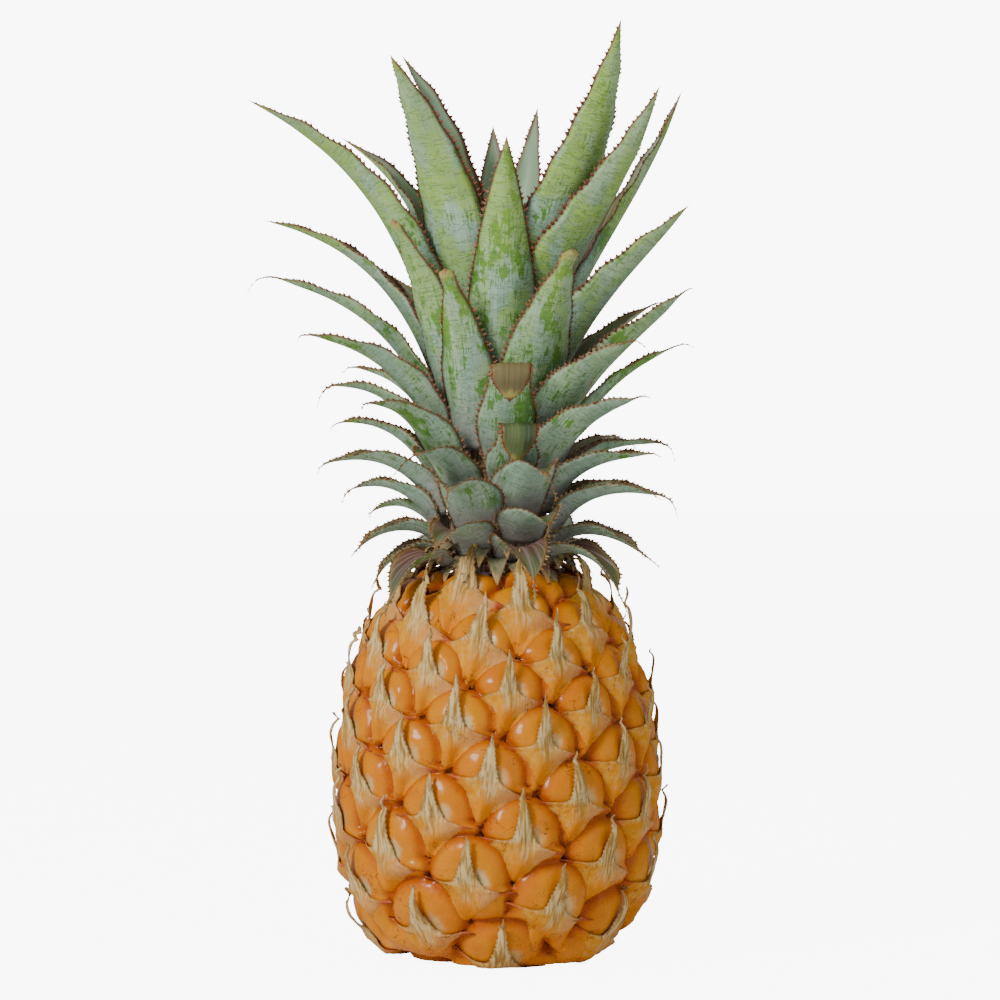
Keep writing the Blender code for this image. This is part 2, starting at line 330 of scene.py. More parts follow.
def use_group(tree, group, **inputs):
    made = tree.nodes.new("ShaderNodeGroup")
    made.node_tree = group
    for key, value in inputs.items():
        feed(tree, made.inputs[key], value)
    return made.outputs


def hand_colour(code):
    """A colour written as red, green and blue in steps of 1 to 255, as light values."""
    shares = [int(code[i : i + 2], 16) / 255.0 for i in (0, 2, 4)]
    return tuple(s / 12.92 if s < 0.04045 else ((s + 0.055) / 1.055) ** 2.4 for s in shares)


def blend(tree, share, first, second):
    """Mix two colours, each either a node's output or a written code."""
    made = add_node(tree, "ShaderNodeMix", data_type="RGBA")
    feed(tree, made.inputs["Factor"], share)
    for socket, value in zip((made.inputs[6], made.inputs[7]), (first, second)):
        feed(tree, socket, (*hand_colour(value), 1.0) if isinstance(value, str) else value)
    return made.outputs[2]


def stretched(tree, coordinates, x, y, z=1.0):
    """The same coordinates with each axis stretched, so that a pattern lies along them."""
    return vector(tree, "MULTIPLY", coordinates, (x, y, z))


def object_mm(tree):
    """Where a spot is on the object, in millimetres."""
    place = add_node(tree, "ShaderNodeTexCoord").outputs["Object"]
    return vector(tree, "MULTIPLY", place, (1.0 / MM,) * 3)


def streaks(tree, coordinates, x, y, **settings):
    """Mottle drawn out along one axis: x and y say how often it changes per millimetre."""
    flat = stretched(tree, coordinates, x, y)
    return use_group(tree, MOTTLE, Coordinates=flat, Scale=1.0, **settings)


def cracks(tree, coordinates, x, y, **settings):
    """Flecks drawn out along one axis, as hairlines."""
    flat = stretched(tree, coordinates, x, y)
    return use_group(tree, FLECKS, Coordinates=flat, Scale=1.0, **settings)


def new_finish(name):
    """A material, its tree and its Principled shader."""
    made = bpy.data.materials.new(name)
    made.use_nodes = True
    tree = made.node_tree
    return made, tree, tree.nodes["Principled BSDF"].inputs


# %% [markdown]
# ## The leaves
#
# A crown leaf is a stiff gutter: convex outside, hollow inside, thick along the middle and
# sharp at both edges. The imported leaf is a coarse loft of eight-point rings that close to
# one point at the tip. Starting at that point and stepping outward along the edges gives
# the rings back one by one, so the fine leaf needs no numbers of its own: a smooth curve
# through each of the eight tracks, cut into many rows, is the leaf.

# %% Read the rings of a packed leaf
RING_SIZE = 8


def rings_from(tip):
    """The rings of vertices at one, two, three steps from the tip, or None."""
    seen = {tip}
    rings = []
    layer = [tip]
    while True:
        following = {e.other_vert(v) for v in layer for e in v.link_edges} - seen
        if not following:
            return rings
        if len(following) != RING_SIZE:
            return None
        seen |= following
        layer = list(following)
        rings.append(layer)


def read_leaf(node):
    """Tracks of points from root to tip: five on the outer side, three on the inner."""
    builder = merged_copy(node)
    found = None
    for vert in builder.verts:
        if len(vert.link_edges) == RING_SIZE:
            found = rings_from(vert)
            if found and len(found) > 4:
                tip = vert.co / MM
                break
            found = None
    if not found:
        raise ValueError(f"{node} has no clean rings")
    rings = [[v.co / MM for v in ring] for ring in reversed(found)]
    builder.free()
    centres = [sum(ring, Vector()) / RING_SIZE for ring in rings] + [tip]
    azimuth = math.atan2(centres[0].y, centres[0].x)
    side = Vector((-math.sin(azimuth), math.cos(azimuth), 0.0))
    outer, inner = [], []
    for index, ring in enumerate(rings):
        along = (centres[index + 1] - centres[max(index - 1, 0)]).normalized()
        upper = along.cross(side)
        ordered = sorted(ring, key=lambda p: p.dot(side))
        pairs = [sorted(ordered[k : k + 2], key=lambda p: p.dot(upper)) for k in (1, 3, 5)]
        outer.append([ordered[0], *[pair[0] for pair in pairs], ordered[-1]])
        inner.append([pair[1] for pair in pairs])
    outer.append([tip] * 5)
    inner.append([tip] * 3)
    return np.array(outer), np.array(inner)


leaf_tracks = {node: read_leaf(node) for node in LEAF_NODES}
lengths = {
    node: float(np.linalg.norm(np.diff(outer[:, 2], axis=0), axis=1).sum())
    for node, (outer, inner) in leaf_tracks.items()
}
print(f"leaves {min(lengths.values()):.0f} to {max(lengths.values()):.0f} mm long")

# %% [markdown]
# ### A smooth blade through the tracks
#
# The curve between two rings is a cubic whose slopes come from the neighbouring rings, so
# the blade bends without corners. The same curve is used across the blade to round the
# gutter. Real blades are not perfect: each edge waves a little, more near the tip, the
# lower leaves end in a dry thread that hangs, and three have lost their point and end
# blunt. Outer and inner faces keep separate material slots, because the outside is dusted
# with pale wax and the inside is dark and smooth.

# %% Loft a fine blade
ACROSS = np.linspace(-1.0, 1.0, 11)
TRACK_PLACES = np.array([-1.0, -0.5, 0.0, 0.5, 1.0])
ROW_STEP = 1.8
THREAD_RADIUS = 0.28
BLUNT_FROM = 0.955


def curve_through(knots, values, where):
    """Points on a smooth curve that passes through the values at their knots."""
    step = np.diff(knots)
    wide = step.reshape(-1, *[1] * (values.ndim - 1))
    slope = np.diff(values, axis=0) / wide
    middle = (slope[:-1] * wide[1:] + slope[1:] * wide[:-1]) / (wide[:-1] + wide[1:])
    tangent = np.concatenate([slope[:1], middle, slope[-1:]])
    index = np.clip(np.searchsorted(knots, where, side="right") - 1, 0, len(step) - 1)
    size = step[index]
    t = (where - knots[index]) / size
    shape = (-1, *[1] * (values.ndim - 1))
    t, size = t.reshape(shape), size.reshape(shape)
    return (
        (2 * t**3 - 3 * t**2 + 1) * values[index]
        + (t**3 - 2 * t**2 + t) * size * tangent[index]
        + (3 * t**2 - 2 * t**3) * values[index + 1]
        + (t**3 - t**2) * size * tangent[index + 1]
    )


def with_thread(outer, inner, length, dice):
    """Carry the tip on as a thin dry thread that curls."""
    tip = outer[-1, 2]
    along = tip - outer[-2, 2]
    along /= np.linalg.norm(along)
    bend = dice.normal(size=3) * 0.35 + np.array([0.0, 0.0, -1.0])
    rings_out, rings_in = [outer[:-1]], [inner[:-1]]
    side = outer[-2, 4] - outer[-2, 0]
    side /= np.linalg.norm(side)
    upper = np.cross(along, side)
    for share, radius in ((0.0, 1.0), (0.4, 0.8), (0.75, 0.55), (1.0, 0.0)):
        centre = tip + (along + bend * share) * length * share
        spread = radius * THREAD_RADIUS
        low = [centre + side * p * spread - upper * (1 - p * p) * spread for p in TRACK_PLACES]
        high = [centre + side * p * spread + upper * (1 - p * p) * spread for p in (-0.5, 0, 0.5)]
        rings_out.append(np.array([low]))
        rings_in.append(np.array([high]))
    return np.concatenate(rings_out), np.concatenate(rings_in)


def blunted(tracks, where, width):
    """Keep the last rows as wide as a blunt tip that ends in a short round."""
    share = where / where[-1]
    half = np.linalg.norm(tracks[:, -1] - tracks[:, 0], axis=1) / 2.0
    reach = np.clip((share - BLUNT_FROM) / (1.0 - BLUNT_FROM), 0.0, 1.0)
    wanted = np.where(share > 0.7, width * np.sqrt(1.0 - reach**2), 0.0)
    factor = np.maximum(wanted / np.maximum(half, 0.3), 1.0)[:, None, None]
    middle = (tracks[:, :1] + tracks[:, -1:]) / 2.0
    return middle + (tracks - middle) * factor


def fine_rows(outer, inner, dice, blunt=0.0):
    """Fine rows of outer and inner points, and the distance of each row from the root."""
    steps = np.linalg.norm(np.diff(outer[:, 2], axis=0), axis=1)
    knots = np.concatenate([[0.0], np.cumsum(steps)])
    rows = int(np.clip(knots[-1] / ROW_STEP, 22, 76))
    where = np.linspace(0.0, knots[-1], rows)
    full_inner = np.concatenate([outer[:, :1], inner, outer[:, 4:]], axis=1)
    fine = []
    for tracks in (outer, full_inner):
        lengthwise = curve_through(knots, tracks, where)
        crosswise = curve_through(TRACK_PLACES, lengthwise.swapaxes(0, 1), ACROSS).swapaxes(0, 1)
        fine.append(blunted(crosswise, where, blunt) if blunt else crosswise)
    wave = np.zeros((rows, len(ACROSS)))
    for sign in (-1, 1):
        period = dice.uniform(13.0, 21.0)
        swing = np.sin(where / period * 2 * math.pi + dice.uniform(0, 6.3))
        lift = 0.45 * np.clip(sign * ACROSS, 0, 1) ** 3
        wave += np.outer(swing * smoothstep(0.0, 0.3, where / knots[-1]), lift)
    depth = fine[1][:, 5] - fine[0][:, 5]
    depth /= np.maximum(np.linalg.norm(depth, axis=1, keepdims=True), 0.05)
    taper = smoothstep(1.0, 0.85, where / knots[-1])[:, None, None]
    shift = depth[:, None, :] * wave[:, :, None] * taper
    return fine[0] + shift, fine[1] + shift, where


def blade_mesh(name, outer, inner, where):
    """One closed blade; rows close to a point at the tip and to a strip at the root."""
    rows, columns = outer.shape[:2]
    loop = list(range(columns)) + [columns + k for k in range(columns - 2)][::-1]
    size = len(loop)
    width = np.linalg.norm(outer[:, -1] - outer[:, 0], axis=1) / 2.0
    points, flat, share = [], [], []
    for row in range(rows - 1):
        points += [*outer[row], *inner[row, 1:-1]]
        places = [*ACROSS, *ACROSS[1:-1]]
        flat += [(place * width[row], where[row]) for place in places]
        share += [(place, where[row] / where[-1]) for place in places]
    points.append(outer[-1, 5])
    flat.append((0.0, where[-1]))
    share.append((0.0, 1.0))
    tip = len(points) - 1
    faces, slots = [], []
    for row in range(rows - 1):
        start, following = row * size, (row + 1) * size
        for k in range(size):
            a, b = loop[k], loop[(k + 1) % size]
            if row == rows - 2:
                faces.append((start + a, start + b, tip))
            else:
                faces.append((start + a, start + b, following + b, following + a))
            slots.append(0 if k < columns - 1 else 1)
    for k in range(columns - 1):
        low = (k, k + 1)
        high = [columns + j - 1 for j in (k + 1, k) if 0 < j < columns - 1]
        faces.append((*low, *high))
        slots.append(0)
    mesh = plain_mesh(name, points, faces)
    builder = bmesh.new()
    builder.from_mesh(mesh)
    bmesh.ops.recalc_face_normals(builder, faces=builder.faces)
    builder.to_mesh(mesh)
    builder.free()
    mesh.polygons.foreach_set("material_index", slots)
    mesh.polygons.foreach_set("use_smooth", [True] * len(slots))
    corners = np.array([corner.vertex_index for corner in mesh.loops])
    for label, values in (("blade_mm", flat), ("blade_share", share)):
        layer = mesh.uv_layers.new(name=label)
        layer.data.foreach_set("uv", np.array(values, dtype=np.float32)[corners].ravel())
    return mesh


# %% [markdown]
# ### The thorns along both edges
#
# Every edge carries hooked thorns that lean to the tip, about 2 mm apart. That is a shape
# repeated along a path, so Geometry Nodes places it: the two edges ride along in the mesh as
# loose lines, the tree turns them into curves, samples them evenly, jitters the samples and
# stands one thorn on each. Directions are stored on the lines, so that a thorn always points
# outward and forward whichever way a curve runs.

# %% The thorn and the tree that sets it
THORN_HEIGHT = 1.15
THORN_SPACING = 2.3


def thorn_object():
    """A hooked thorn, base at the origin, outward along +Z, leaning to +X."""
    points, share = [], []
    levels = ((-0.25, 0.75, 0.34), (0.35, 0.42, 0.22), (0.8, 0.2, 0.1))
    for height, length, thick in levels:
        lean = 0.75 * max(height, 0.0) ** 1.7
        corners = ((length, 0), (0, thick), (-length, 0), (0, -thick))
        points += [(x + lean, y, height) for x, y in corners]
        share += [max(height, 0.0) / THORN_HEIGHT] * 4
    points.append((1.05, 0.0, THORN_HEIGHT))
    share.append(1.0)
    faces = [(3, 2, 1, 0)]
    for level in (0, 4):
        for k in range(4):
            a, b = level + k, level + (k + 1) % 4
            faces.append((a, b, b + 4, a + 4))
    faces += [(8 + k, 8 + (k + 1) % 4, 12) for k in range(4)]
    mesh = plain_mesh("thorn", points, faces)
    set_values(mesh, "thorn_share", "FLOAT", "POINT", share)
    return new_object("thorn_shape", mesh)


def named(tree, label, kind="FLOAT"):
    made = add_node(tree, "GeometryNodeInputNamedAttribute", data_type=kind)
    made.inputs["Name"].default_value = label
    return made.outputs["Attribute"]


def random_value(tree, low, high, seed):
    made = add_node(tree, "FunctionNodeRandomValue", data_type="FLOAT")
    feed(tree, made.inputs[2], low)
    feed(tree, made.inputs[3], high)
    feed(tree, made.inputs["Seed"], seed)
    return made.outputs[1]


def axes(tree, primary, secondary, primary_axis="Z", secondary_axis="X"):
    made = add_node(
        tree,
        "FunctionNodeAxesToRotation",
        {"Primary Axis": primary, "Secondary Axis": secondary},
        primary_axis=primary_axis,
        secondary_axis=secondary_axis,
    )
    return made.outputs["Rotation"]


def thorn_tree():
    inputs = {
        "Geometry": "Geometry",
        "Thorn": "Object",
        "Finish": "Material",
        "Spacing": THORN_SPACING * MM,
        "Size": 1.0,
        "Seed": 1,
    }
    tree, given, out = new_tree("thorns along both edges", inputs)
    parts = add_node(
        tree,
        "GeometryNodeSeparateGeometry",
        {"Geometry": given["Geometry"], "Selection": named(tree, "edge_line", "BOOLEAN")},
        domain="EDGE",
    )
    lines = add_node(tree, "GeometryNodeMeshToCurve", {"Mesh": parts.outputs["Selection"]})
    even = add_node(tree, "GeometryNodeResampleCurve", {"Curve": lines.outputs["Curve"]})
    even.mode = "LENGTH"
    feed(tree, even.inputs["Length"], given["Spacing"])
    forward = named(tree, "forward", "FLOAT_VECTOR")
    outward = named(tree, "outward", "FLOAT_VECTOR")
    reach = times(tree, given["Spacing"], 0.3)
    jitter = random_value(tree, times(tree, reach, -1.0), reach, given["Seed"])
    made = scaled(tree, forward, jitter)
    moved = add_node(
        tree,
        "GeometryNodeSetPosition",
        {"Geometry": even.outputs["Curve"], "Offset": made},
    )
    thorn = add_node(tree, "GeometryNodeObjectInfo", {"Object": given["Thorn"]})
    size = times(tree, named(tree, "thorn_size"), given["Size"])
    scale = times(tree, size, random_value(tree, 0.7, 1.15, given["Seed"]))
    stood = add_node(
        tree,
        "GeometryNodeInstanceOnPoints",
        {
            "Points": moved.outputs["Geometry"],
            "Instance": thorn.outputs["Geometry"],
            "Rotation": axes(tree, outward, forward),
            "Scale": scale,
        },
    )
    real = add_node(tree, "GeometryNodeRealizeInstances", {0: stood.outputs["Instances"]})
    finished = with_finish(tree, real.outputs[0], given["Finish"])
    whole = tree.nodes.new("GeometryNodeJoinGeometry")
    tree.links.new(finished, whole.inputs[0])
    tree.links.new(parts.outputs["Inverted"], whole.inputs[0])
    feed(tree, out["Geometry"], whole.outputs[0])
    return tree


# %% [markdown]
# ### What the leaves are made of
#
# The outside wears a pale waxy dust that rubs off in streaks and shows the fresh green
# below; fine veins run along it, thin cracks and wrinkles across it, and the upper leaves
# are worn to a soft lime. The inside is dark green going to purple-brown at the base.
# Towards the tip both turn yellow, then tan. How old, how rubbed and how dry a leaf is
# rides along as a value stored on the leaf itself.


# %% Leaf finishes
def uv_of(tree, label):
    return add_node(tree, "ShaderNodeUVMap", uv_map=label).outputs[0]


def stored(tree, label):
    return add_node(tree, "ShaderNodeAttribute", attribute_name=label).outputs["Fac"]


def split(tree, coordinates):
    made = add_node(tree, "ShaderNodeSeparateXYZ", {0: coordinates})
    return made.outputs[0], made.outputs[1]


def bump(tree, height, strength, distance, normal=None):
    made = add_node(tree, "ShaderNodeBump", {"Height": height})
    made.inputs["Strength"].default_value = strength
    made.inputs["Distance"].default_value = distance * MM
    feed(tree, made.inputs["Normal"], normal)
    return made.outputs[0]


def leaf_frame(tree):
    """Coordinates every leaf finish needs: shifted millimetres, |across| and along."""
    seed = stored(tree, "seed")
    shift = add_node(tree, "ShaderNodeCombineXYZ", {0: 0.0, 1: 0.0, 2: seed}).outputs[0]
    flat = vector(tree, "ADD", uv_of(tree, "blade_mm"), shift)
    across, along = split(tree, uv_of(tree, "blade_share"))
    return flat, calc(tree, "ABSOLUTE", across), along


def dried(tree, colour, flat, along, age):
    """Yellow and then tan toward the tip, further down on dry leaves."""
    patch = streaks(tree, flat, 0.5, 0.12)
    ragged = times(tree, minus(tree, patch["Noise"], 0.5), 0.12)
    place = plus(tree, along, ragged)
    dry = stored(tree, "dry")
    start = minus(tree, 1.0, dry)
    reach = calc(tree, "MULTIPLY_ADD", age, 0.09, 0.015)
    yellow = ramp(tree, place, minus(tree, start, reach), start)
    tan = ramp(tree, place, start, calc(tree, "MULTIPLY_ADD", reach, 0.4, start))
    colour = blend(tree, times(tree, yellow, 0.75), colour, "B9AE56")
    colour = blend(tree, tan, colour, "B08B52")
    streak = streaks(tree, flat, 2.2, 0.15)
    dark = times(tree, times(tree, streak["Mask"], tan), 0.55)
    return blend(tree, dark, colour, "6B4628")


def edge_band(tree, flat, edge, wide, narrow):
    """1 on the very edge of a blade, 0 further in than the width in millimetres."""
    across = calc(tree, "ABSOLUTE", split(tree, flat)[0])
    half = calc(tree, "DIVIDE", across, calc(tree, "MAXIMUM", edge, 0.02))
    return ramp(tree, minus(tree, half, across), wide, narrow)


def leaf_outside():
    made, tree, shader = new_finish("leaf, waxy outside")
    flat, edge, along = leaf_frame(tree)
    age = stored(tree, "age")
    wax = streaks(tree, flat, 0.22, 0.06, From=0.3, To=0.7)
    cool = blend(tree, wax["Mask"], "90BCA2", "B8DEC6")
    warm = blend(tree, wax["Mask"], "A2C680", "BEE0A2")
    youth = ramp(tree, age, 0.75, 0.1)
    high = times(tree, ramp(tree, along, 0.35, 0.9), youth)
    colour = blend(tree, high, cool, warm)
    grain = streaks(tree, flat, 2.4, 1.3, From=0.5, To=0.7)
    colour = blend(tree, times(tree, grain["Mask"], 0.3), colour, "C9DCBE")
    veins = streaks(tree, flat, 3.2, 0.04, From=0.42, To=0.62)
    colour = blend(tree, times(tree, veins["Mask"], 0.22), colour, "578566")
    base = times(tree, ramp(tree, along, 0.42, 0.05), ramp(tree, age, 0.0, 0.7, 0.35, 0.9))
    colour = blend(tree, base, colour, "9A8F92")
    weathered = times(tree, age, ramp(tree, wax["Noise"], 0.3, 0.7, 0.25, 0.6))
    colour = blend(tree, weathered, colour, "A6A79A")
    lines = streaks(tree, flat, 2.6, 0.05, Detail=5.0, From=0.56, To=0.62)
    beside = times(tree, edge_band(tree, flat, edge, 5.0, 0.8), times(tree, age, 0.75))
    colour = blend(tree, times(tree, lines["Mask"], beside), colour, "7B5B3C")
    hatch = streaks(tree, flat, 0.35, 2.2, Detail=4.0, From=0.4, To=0.6)
    worn = add_node(
        tree,
        "ShaderNodeTexNoise",
        {
            "Vector": stretched(tree, flat, 0.11, 0.05),
            "Scale": 1.0,
            "Detail": 6.0,
            "Roughness": 0.6,
        },
    ).outputs["Fac"]
    brushed = ramp(tree, hatch["Noise"], 0.3, 0.6, 0.45, 1.0)
    soft = times(tree, ramp(tree, worn, 0.42, 0.56), brushed)
    soft = times(tree, soft, times(tree, youth, ramp(tree, along, 0.15, 0.4)))
    colour = blend(tree, times(tree, soft, 0.85), colour, "A6CC48")
    level = minus(tree, 0.62, times(tree, stored(tree, "rubbed"), 0.12))
    rub = add_node(
        tree,
        "ShaderNodeTexNoise",
        {
            "Vector": stretched(tree, flat, 0.13, 0.06),
            "Scale": 1.0,
            "Detail": 9.0,
            "Roughness": 0.72,
        },
    ).outputs["Fac"]
    patch = ramp(tree, rub, level, plus(tree, level, 0.014))
    near = ramp(tree, rub, minus(tree, level, 0.09), level)
    slant = add_node(
        tree,
        "ShaderNodeMapping",
        {"Vector": flat, "Rotation": (0.0, 0.0, 0.7), "Scale": (1.7, 0.16, 1.0)},
    ).outputs[0]
    strokes = use_group(tree, MOTTLE, Coordinates=slant, Scale=1.0, Detail=4.0, From=0.53, To=0.57)
    rubbed = calc(tree, "MAXIMUM", patch, times(tree, near, strokes["Mask"]))
    deep = blend(tree, wax["Mask"], "3F7A10", "61A01C")
    fresh = blend(tree, times(tree, high, 0.8), deep, "93BC3C")
    rubbed = times(tree, rubbed, ramp(tree, along, 0.1, 0.35))
    colour = blend(tree, times(tree, rubbed, 0.92), colour, fresh)
    crossing = cracks(tree, flat, 0.12, 0.9, Width=0.02, Rarity=0.5)
    colour = blend(tree, times(tree, crossing["Mask"], 0.45), colour, "D2E0C8")
    wrinkles = cracks(tree, flat, 0.28, 1.2, Width=0.045, Rarity=0.4)
    colour = blend(tree, times(tree, wrinkles["Mask"], 0.6), colour, "4A7A38")
    specks = add_node(
        tree, "ShaderNodeTexNoise", {"Vector": flat, "Scale": 1.05, "Detail": 2.0}
    ).outputs["Fac"]
    dark = times(tree, ramp(tree, specks, 0.7, 0.74), ramp(tree, age, 0.0, 1.0, 0.5, 0.9))
    colour = blend(tree, dark, colour, "24351F")
    rim = edge_band(tree, flat, edge, 0.95, 0.3)
    rust = blend(tree, age, "8A3434", "94864A")
    colour = blend(tree, times(tree, rim, 0.75), colour, rust)
    colour = dried(tree, colour, flat, along, age)
    feed(tree, shader["Base Color"], colour)
    rough = ramp(tree, rubbed, 0.0, 1.0, 0.62, 0.4, smooth=False)
    feed(tree, shader["Roughness"], rough)
    ridges = plus(tree, veins["Noise"], times(tree, crossing["Mask"], 0.6))
    ridges = plus(tree, ridges, times(tree, grain["Noise"], 0.4))
    ridges = minus(tree, ridges, times(tree, wrinkles["Mask"], 0.7))
    feed(tree, shader["Normal"], bump(tree, ridges, 0.55, 0.22))
    return made


def leaf_inside():
    made, tree, shader = new_finish("leaf, dark inside")
    flat, edge, along = leaf_frame(tree)
    age = stored(tree, "age")
    patch = streaks(tree, flat, 0.25, 0.04, From=0.3, To=0.7)
    green = blend(tree, patch["Mask"], "3E5230", "65783F")
    young = times(tree, ramp(tree, age, 0.5, 0.1), ramp(tree, along, 0.55, 0.85))
    young = calc(tree, "MAXIMUM", young, stored(tree, "pale"))
    green = blend(tree, young, green, "93B590")
    purple = blend(tree, patch["Mask"], "5A342E", "7D5148")
    low = ramp(tree, along, 0.75, 0.3)
    share = times(tree, low, ramp(tree, stored(tree, "mauve"), 0.0, 1.0, 0.35, 1.0))
    share = times(tree, share, minus(tree, 1.0, stored(tree, "pale")))
    colour = blend(tree, share, green, purple)
    stripes = streaks(tree, flat, 1.7, 0.02, From=0.5, To=0.62)
    silver = times(tree, stripes["Mask"], ramp(tree, stored(tree, "mauve"), 0, 1, 0.15, 0.6))
    colour = blend(tree, silver, colour, "A79A96")
    tan = blend(tree, stripes["Noise"], "4E4426", "968A5A")
    flap = times(tree, stored(tree, "withered"), ramp(tree, along, 0.7, 0.78))
    colour = blend(tree, flap, colour, tan)
    rim = edge_band(tree, flat, edge, 1.6, 0.3)
    rust = blend(tree, age, "7E3524", "A07A42")
    colour = blend(tree, times(tree, rim, 0.75), colour, rust)
    colour = dried(tree, colour, flat, along, age)
    feed(tree, shader["Base Color"], colour)
    feed(tree, shader["Roughness"], ramp(tree, patch["Noise"], 0.3, 0.7, 0.42, 0.6))
    feed(tree, shader["Normal"], bump(tree, stripes["Noise"], 0.5, 0.2))
    return made


def thorn_finish():
    made, tree, shader = new_finish("thorn, red to pale")
    share = stored(tree, "thorn_share")
    age = stored(tree, "age")
    base = blend(tree, age, "7E2424", "9A7A44")
    point = blend(tree, age, "B0584A", "D8BC86")
    colour = blend(tree, ramp(tree, share, 0.1, 0.7), base, point)
    place = add_node(tree, "ShaderNodeTexCoord").outputs["Object"]
    patch = use_group(tree, MOTTLE, Coordinates=place, Scale=220.0)
    colour = blend(tree, times(tree, patch["Mask"], 0.5), colour, "4E2418")
    feed(tree, shader["Base Color"], colour)
    feed(tree, shader["Roughness"], ramp(tree, patch["Noise"], 0.3, 0.7, 0.4, 0.6))
    return made


# %% Make every leaf
YOUNG, MIDDLE, OLD, OLDEST = 0.05, 0.4, 0.75, 1.0
AGE_AT_LEAF = [1, 10, 24, 41, 57]
SPECIAL_LEAVES = {
    "leaf_26": {"dry": 0.03, "mauve": 0.0},
    "leaf_33": {"dry": 0.03, "mauve": 0.9, "withered": 1.0},
    "leaf_35": {"rubbed": 0.5},
    "leaf_41": {"dry": 0.02, "rubbed": 0.75},
    "leaf_43": {"dry": 0.035, "rubbed": 0.8},
    "leaf_45": {"dry": 0.03},
    "leaf_46": {"mauve": 0.6},
    "leaf_48": {"rubbed": 0.7, "mauve": 0.8},
    "leaf_50": {"mauve": 0.9},
    "leaf_51": {"mauve": 1.0},
    "leaf_52": {"mauve": 0.7},
    "leaf_56": {"rubbed": 0.15},
    "leaf_57": {"rubbed": 0.0, "pale": 1.0},
}
thorn_shape = thorn_object()
finish_outside, finish_inside, finish_thorn = leaf_outside(), leaf_inside(), thorn_finish()
edge_thorns = thorn_tree()


def leaf_character(node, number, dice):
    """How old, rubbed, dry and mauve a leaf is: the lowest are the oldest."""
    age = float(np.interp(number, AGE_AT_LEAF, [OLDEST, OLD, 0.6, MIDDLE, YOUNG]))
    character = {
        "age": age,
        "seed": number * 7.3,
        "rubbed": dice.uniform(0.1, 0.55) + 0.2 * (25 <= number <= 41),
        "dry": 0.01 + 0.07 * age * dice.uniform(0.3, 1.0),
        "mauve": 0.25 + 0.6 * age,
        "withered": 0.0,
        "pale": 0.0,
    }
    return character | SPECIAL_LEAVES.get(node, {})


def add_edge_lines(mesh, outer, inner, where):
    """Loose lines along both edges, with the directions a thorn needs."""
    start = len(mesh.vertices)
    rows = [r for r in range(len(where)) if 0.05 < where[r] / where[-1] < 0.975]
    middle = (outer[:, 5] + inner[:, 5]) / 2.0
    points, outward, forward, size, edges = [], [], [], [], []
    for column in (0, -1):
        first = start + len(points)
        for row in rows:
            away = outer[row, column] - middle[row]
            ahead = outer[row + 1, column] - outer[row - 1, column]
            points.append(outer[row, column])
            outward.append(away / max(np.linalg.norm(away), 1e-6))
            forward.append(ahead / max(np.linalg.norm(ahead), 1e-6))
            share = where[row] / where[-1]
            size.append(0.55 + 0.45 * smoothstep(1.0, 0.7, share))
        edges += [(k, k + 1) for k in range(first, start + len(points) - 1)]
    builder = bmesh.new()
    builder.from_mesh(mesh)
    added = [builder.verts.new(Vector(p) * MM) for p in points]
    for a, b in edges:
        builder.edges.new((added[a - start], added[b - start]))
    builder.to_mesh(mesh)
    builder.free()
    total = len(mesh.vertices)
    for label, values in (("outward", outward), ("forward", forward)):
        full = np.zeros((total, 3))
        full[start:] = values
        set_values(mesh, label, "FLOAT_VECTOR", "POINT", full)
    full = np.ones(total)
    full[start:] = size
    set_values(mesh, "thorn_size", "FLOAT", "POINT", full)
    loose = [min(edge.vertices) >= start for edge in mesh.edges]
    mesh.attributes.new("edge_line", "BOOLEAN", "EDGE").data.foreach_set("value", loose)


BLUNT_TIPS = {"leaf_41": 3.0, "leaf_43": 3.4, "leaf_45": 2.4}
FOLDED = ("leaf_26", "leaf_33")
THREAD_BELOW = 40


def leaf_piece(name, outer, inner, where, character, number):
    """A blade with its finishes and its thorns."""
    mesh = blade_mesh(f"blade_{number:02d}", outer, inner, where)
    add_edge_lines(mesh, outer, inner, where)
    for label, value in character.items():
        set_values(mesh, label, "FLOAT", "POINT", np.full(len(mesh.vertices), value))
    mesh.materials.append(finish_outside)
    mesh.materials.append(finish_inside)
    settings = {
        "Thorn": thorn_shape,
        "Finish": finish_thorn,
        "Seed": number,
        "Size": 1.15 - 0.25 * character["age"],
        "Spacing": (2.3 - 0.5 * character["age"]) * MM,
    }
    piece = run_nodes(new_object(f"holder_{number:02d}", mesh), edge_thorns, settings, name)
    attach(piece, "root")
    return piece


ridden = []
for node in LEAF_NODES:
    number = int(node[-2:])
    dice = np.random.default_rng(1000 + number)
    outer, inner = leaf_tracks[node]
    character = leaf_character(node, number, dice)
    if number <= THREAD_BELOW and node not in FOLDED:
        outer, inner = with_thread(outer, inner, dice.uniform(3.5, 6.5), dice)
    outer, inner, where = fine_rows(outer, inner, dice, BLUNT_TIPS.get(node, 0.0))
    piece = leaf_piece(f"crown_leaf_{number:02d}", outer, inner, where, character, number)
    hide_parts(node)
    ridden.append(piece)
print(f"{len(ridden)} leaves, {sum(len(p.data.polygons) for p in ridden)} faces")

# %% [markdown]
# ### The heart of the crown
#
# In the middle of the crown the youngest leaves still stand folded round the growing point
# and hide the end of the stem. They follow one rule, so they are lofted from it directly:
# each stands a golden angle further round, a little shorter and closer to the middle, and
# curls inward over the ones inside it.

# %% Make the heart
HEART_LEAVES = 9
HEART_HEIGHT = 197.0


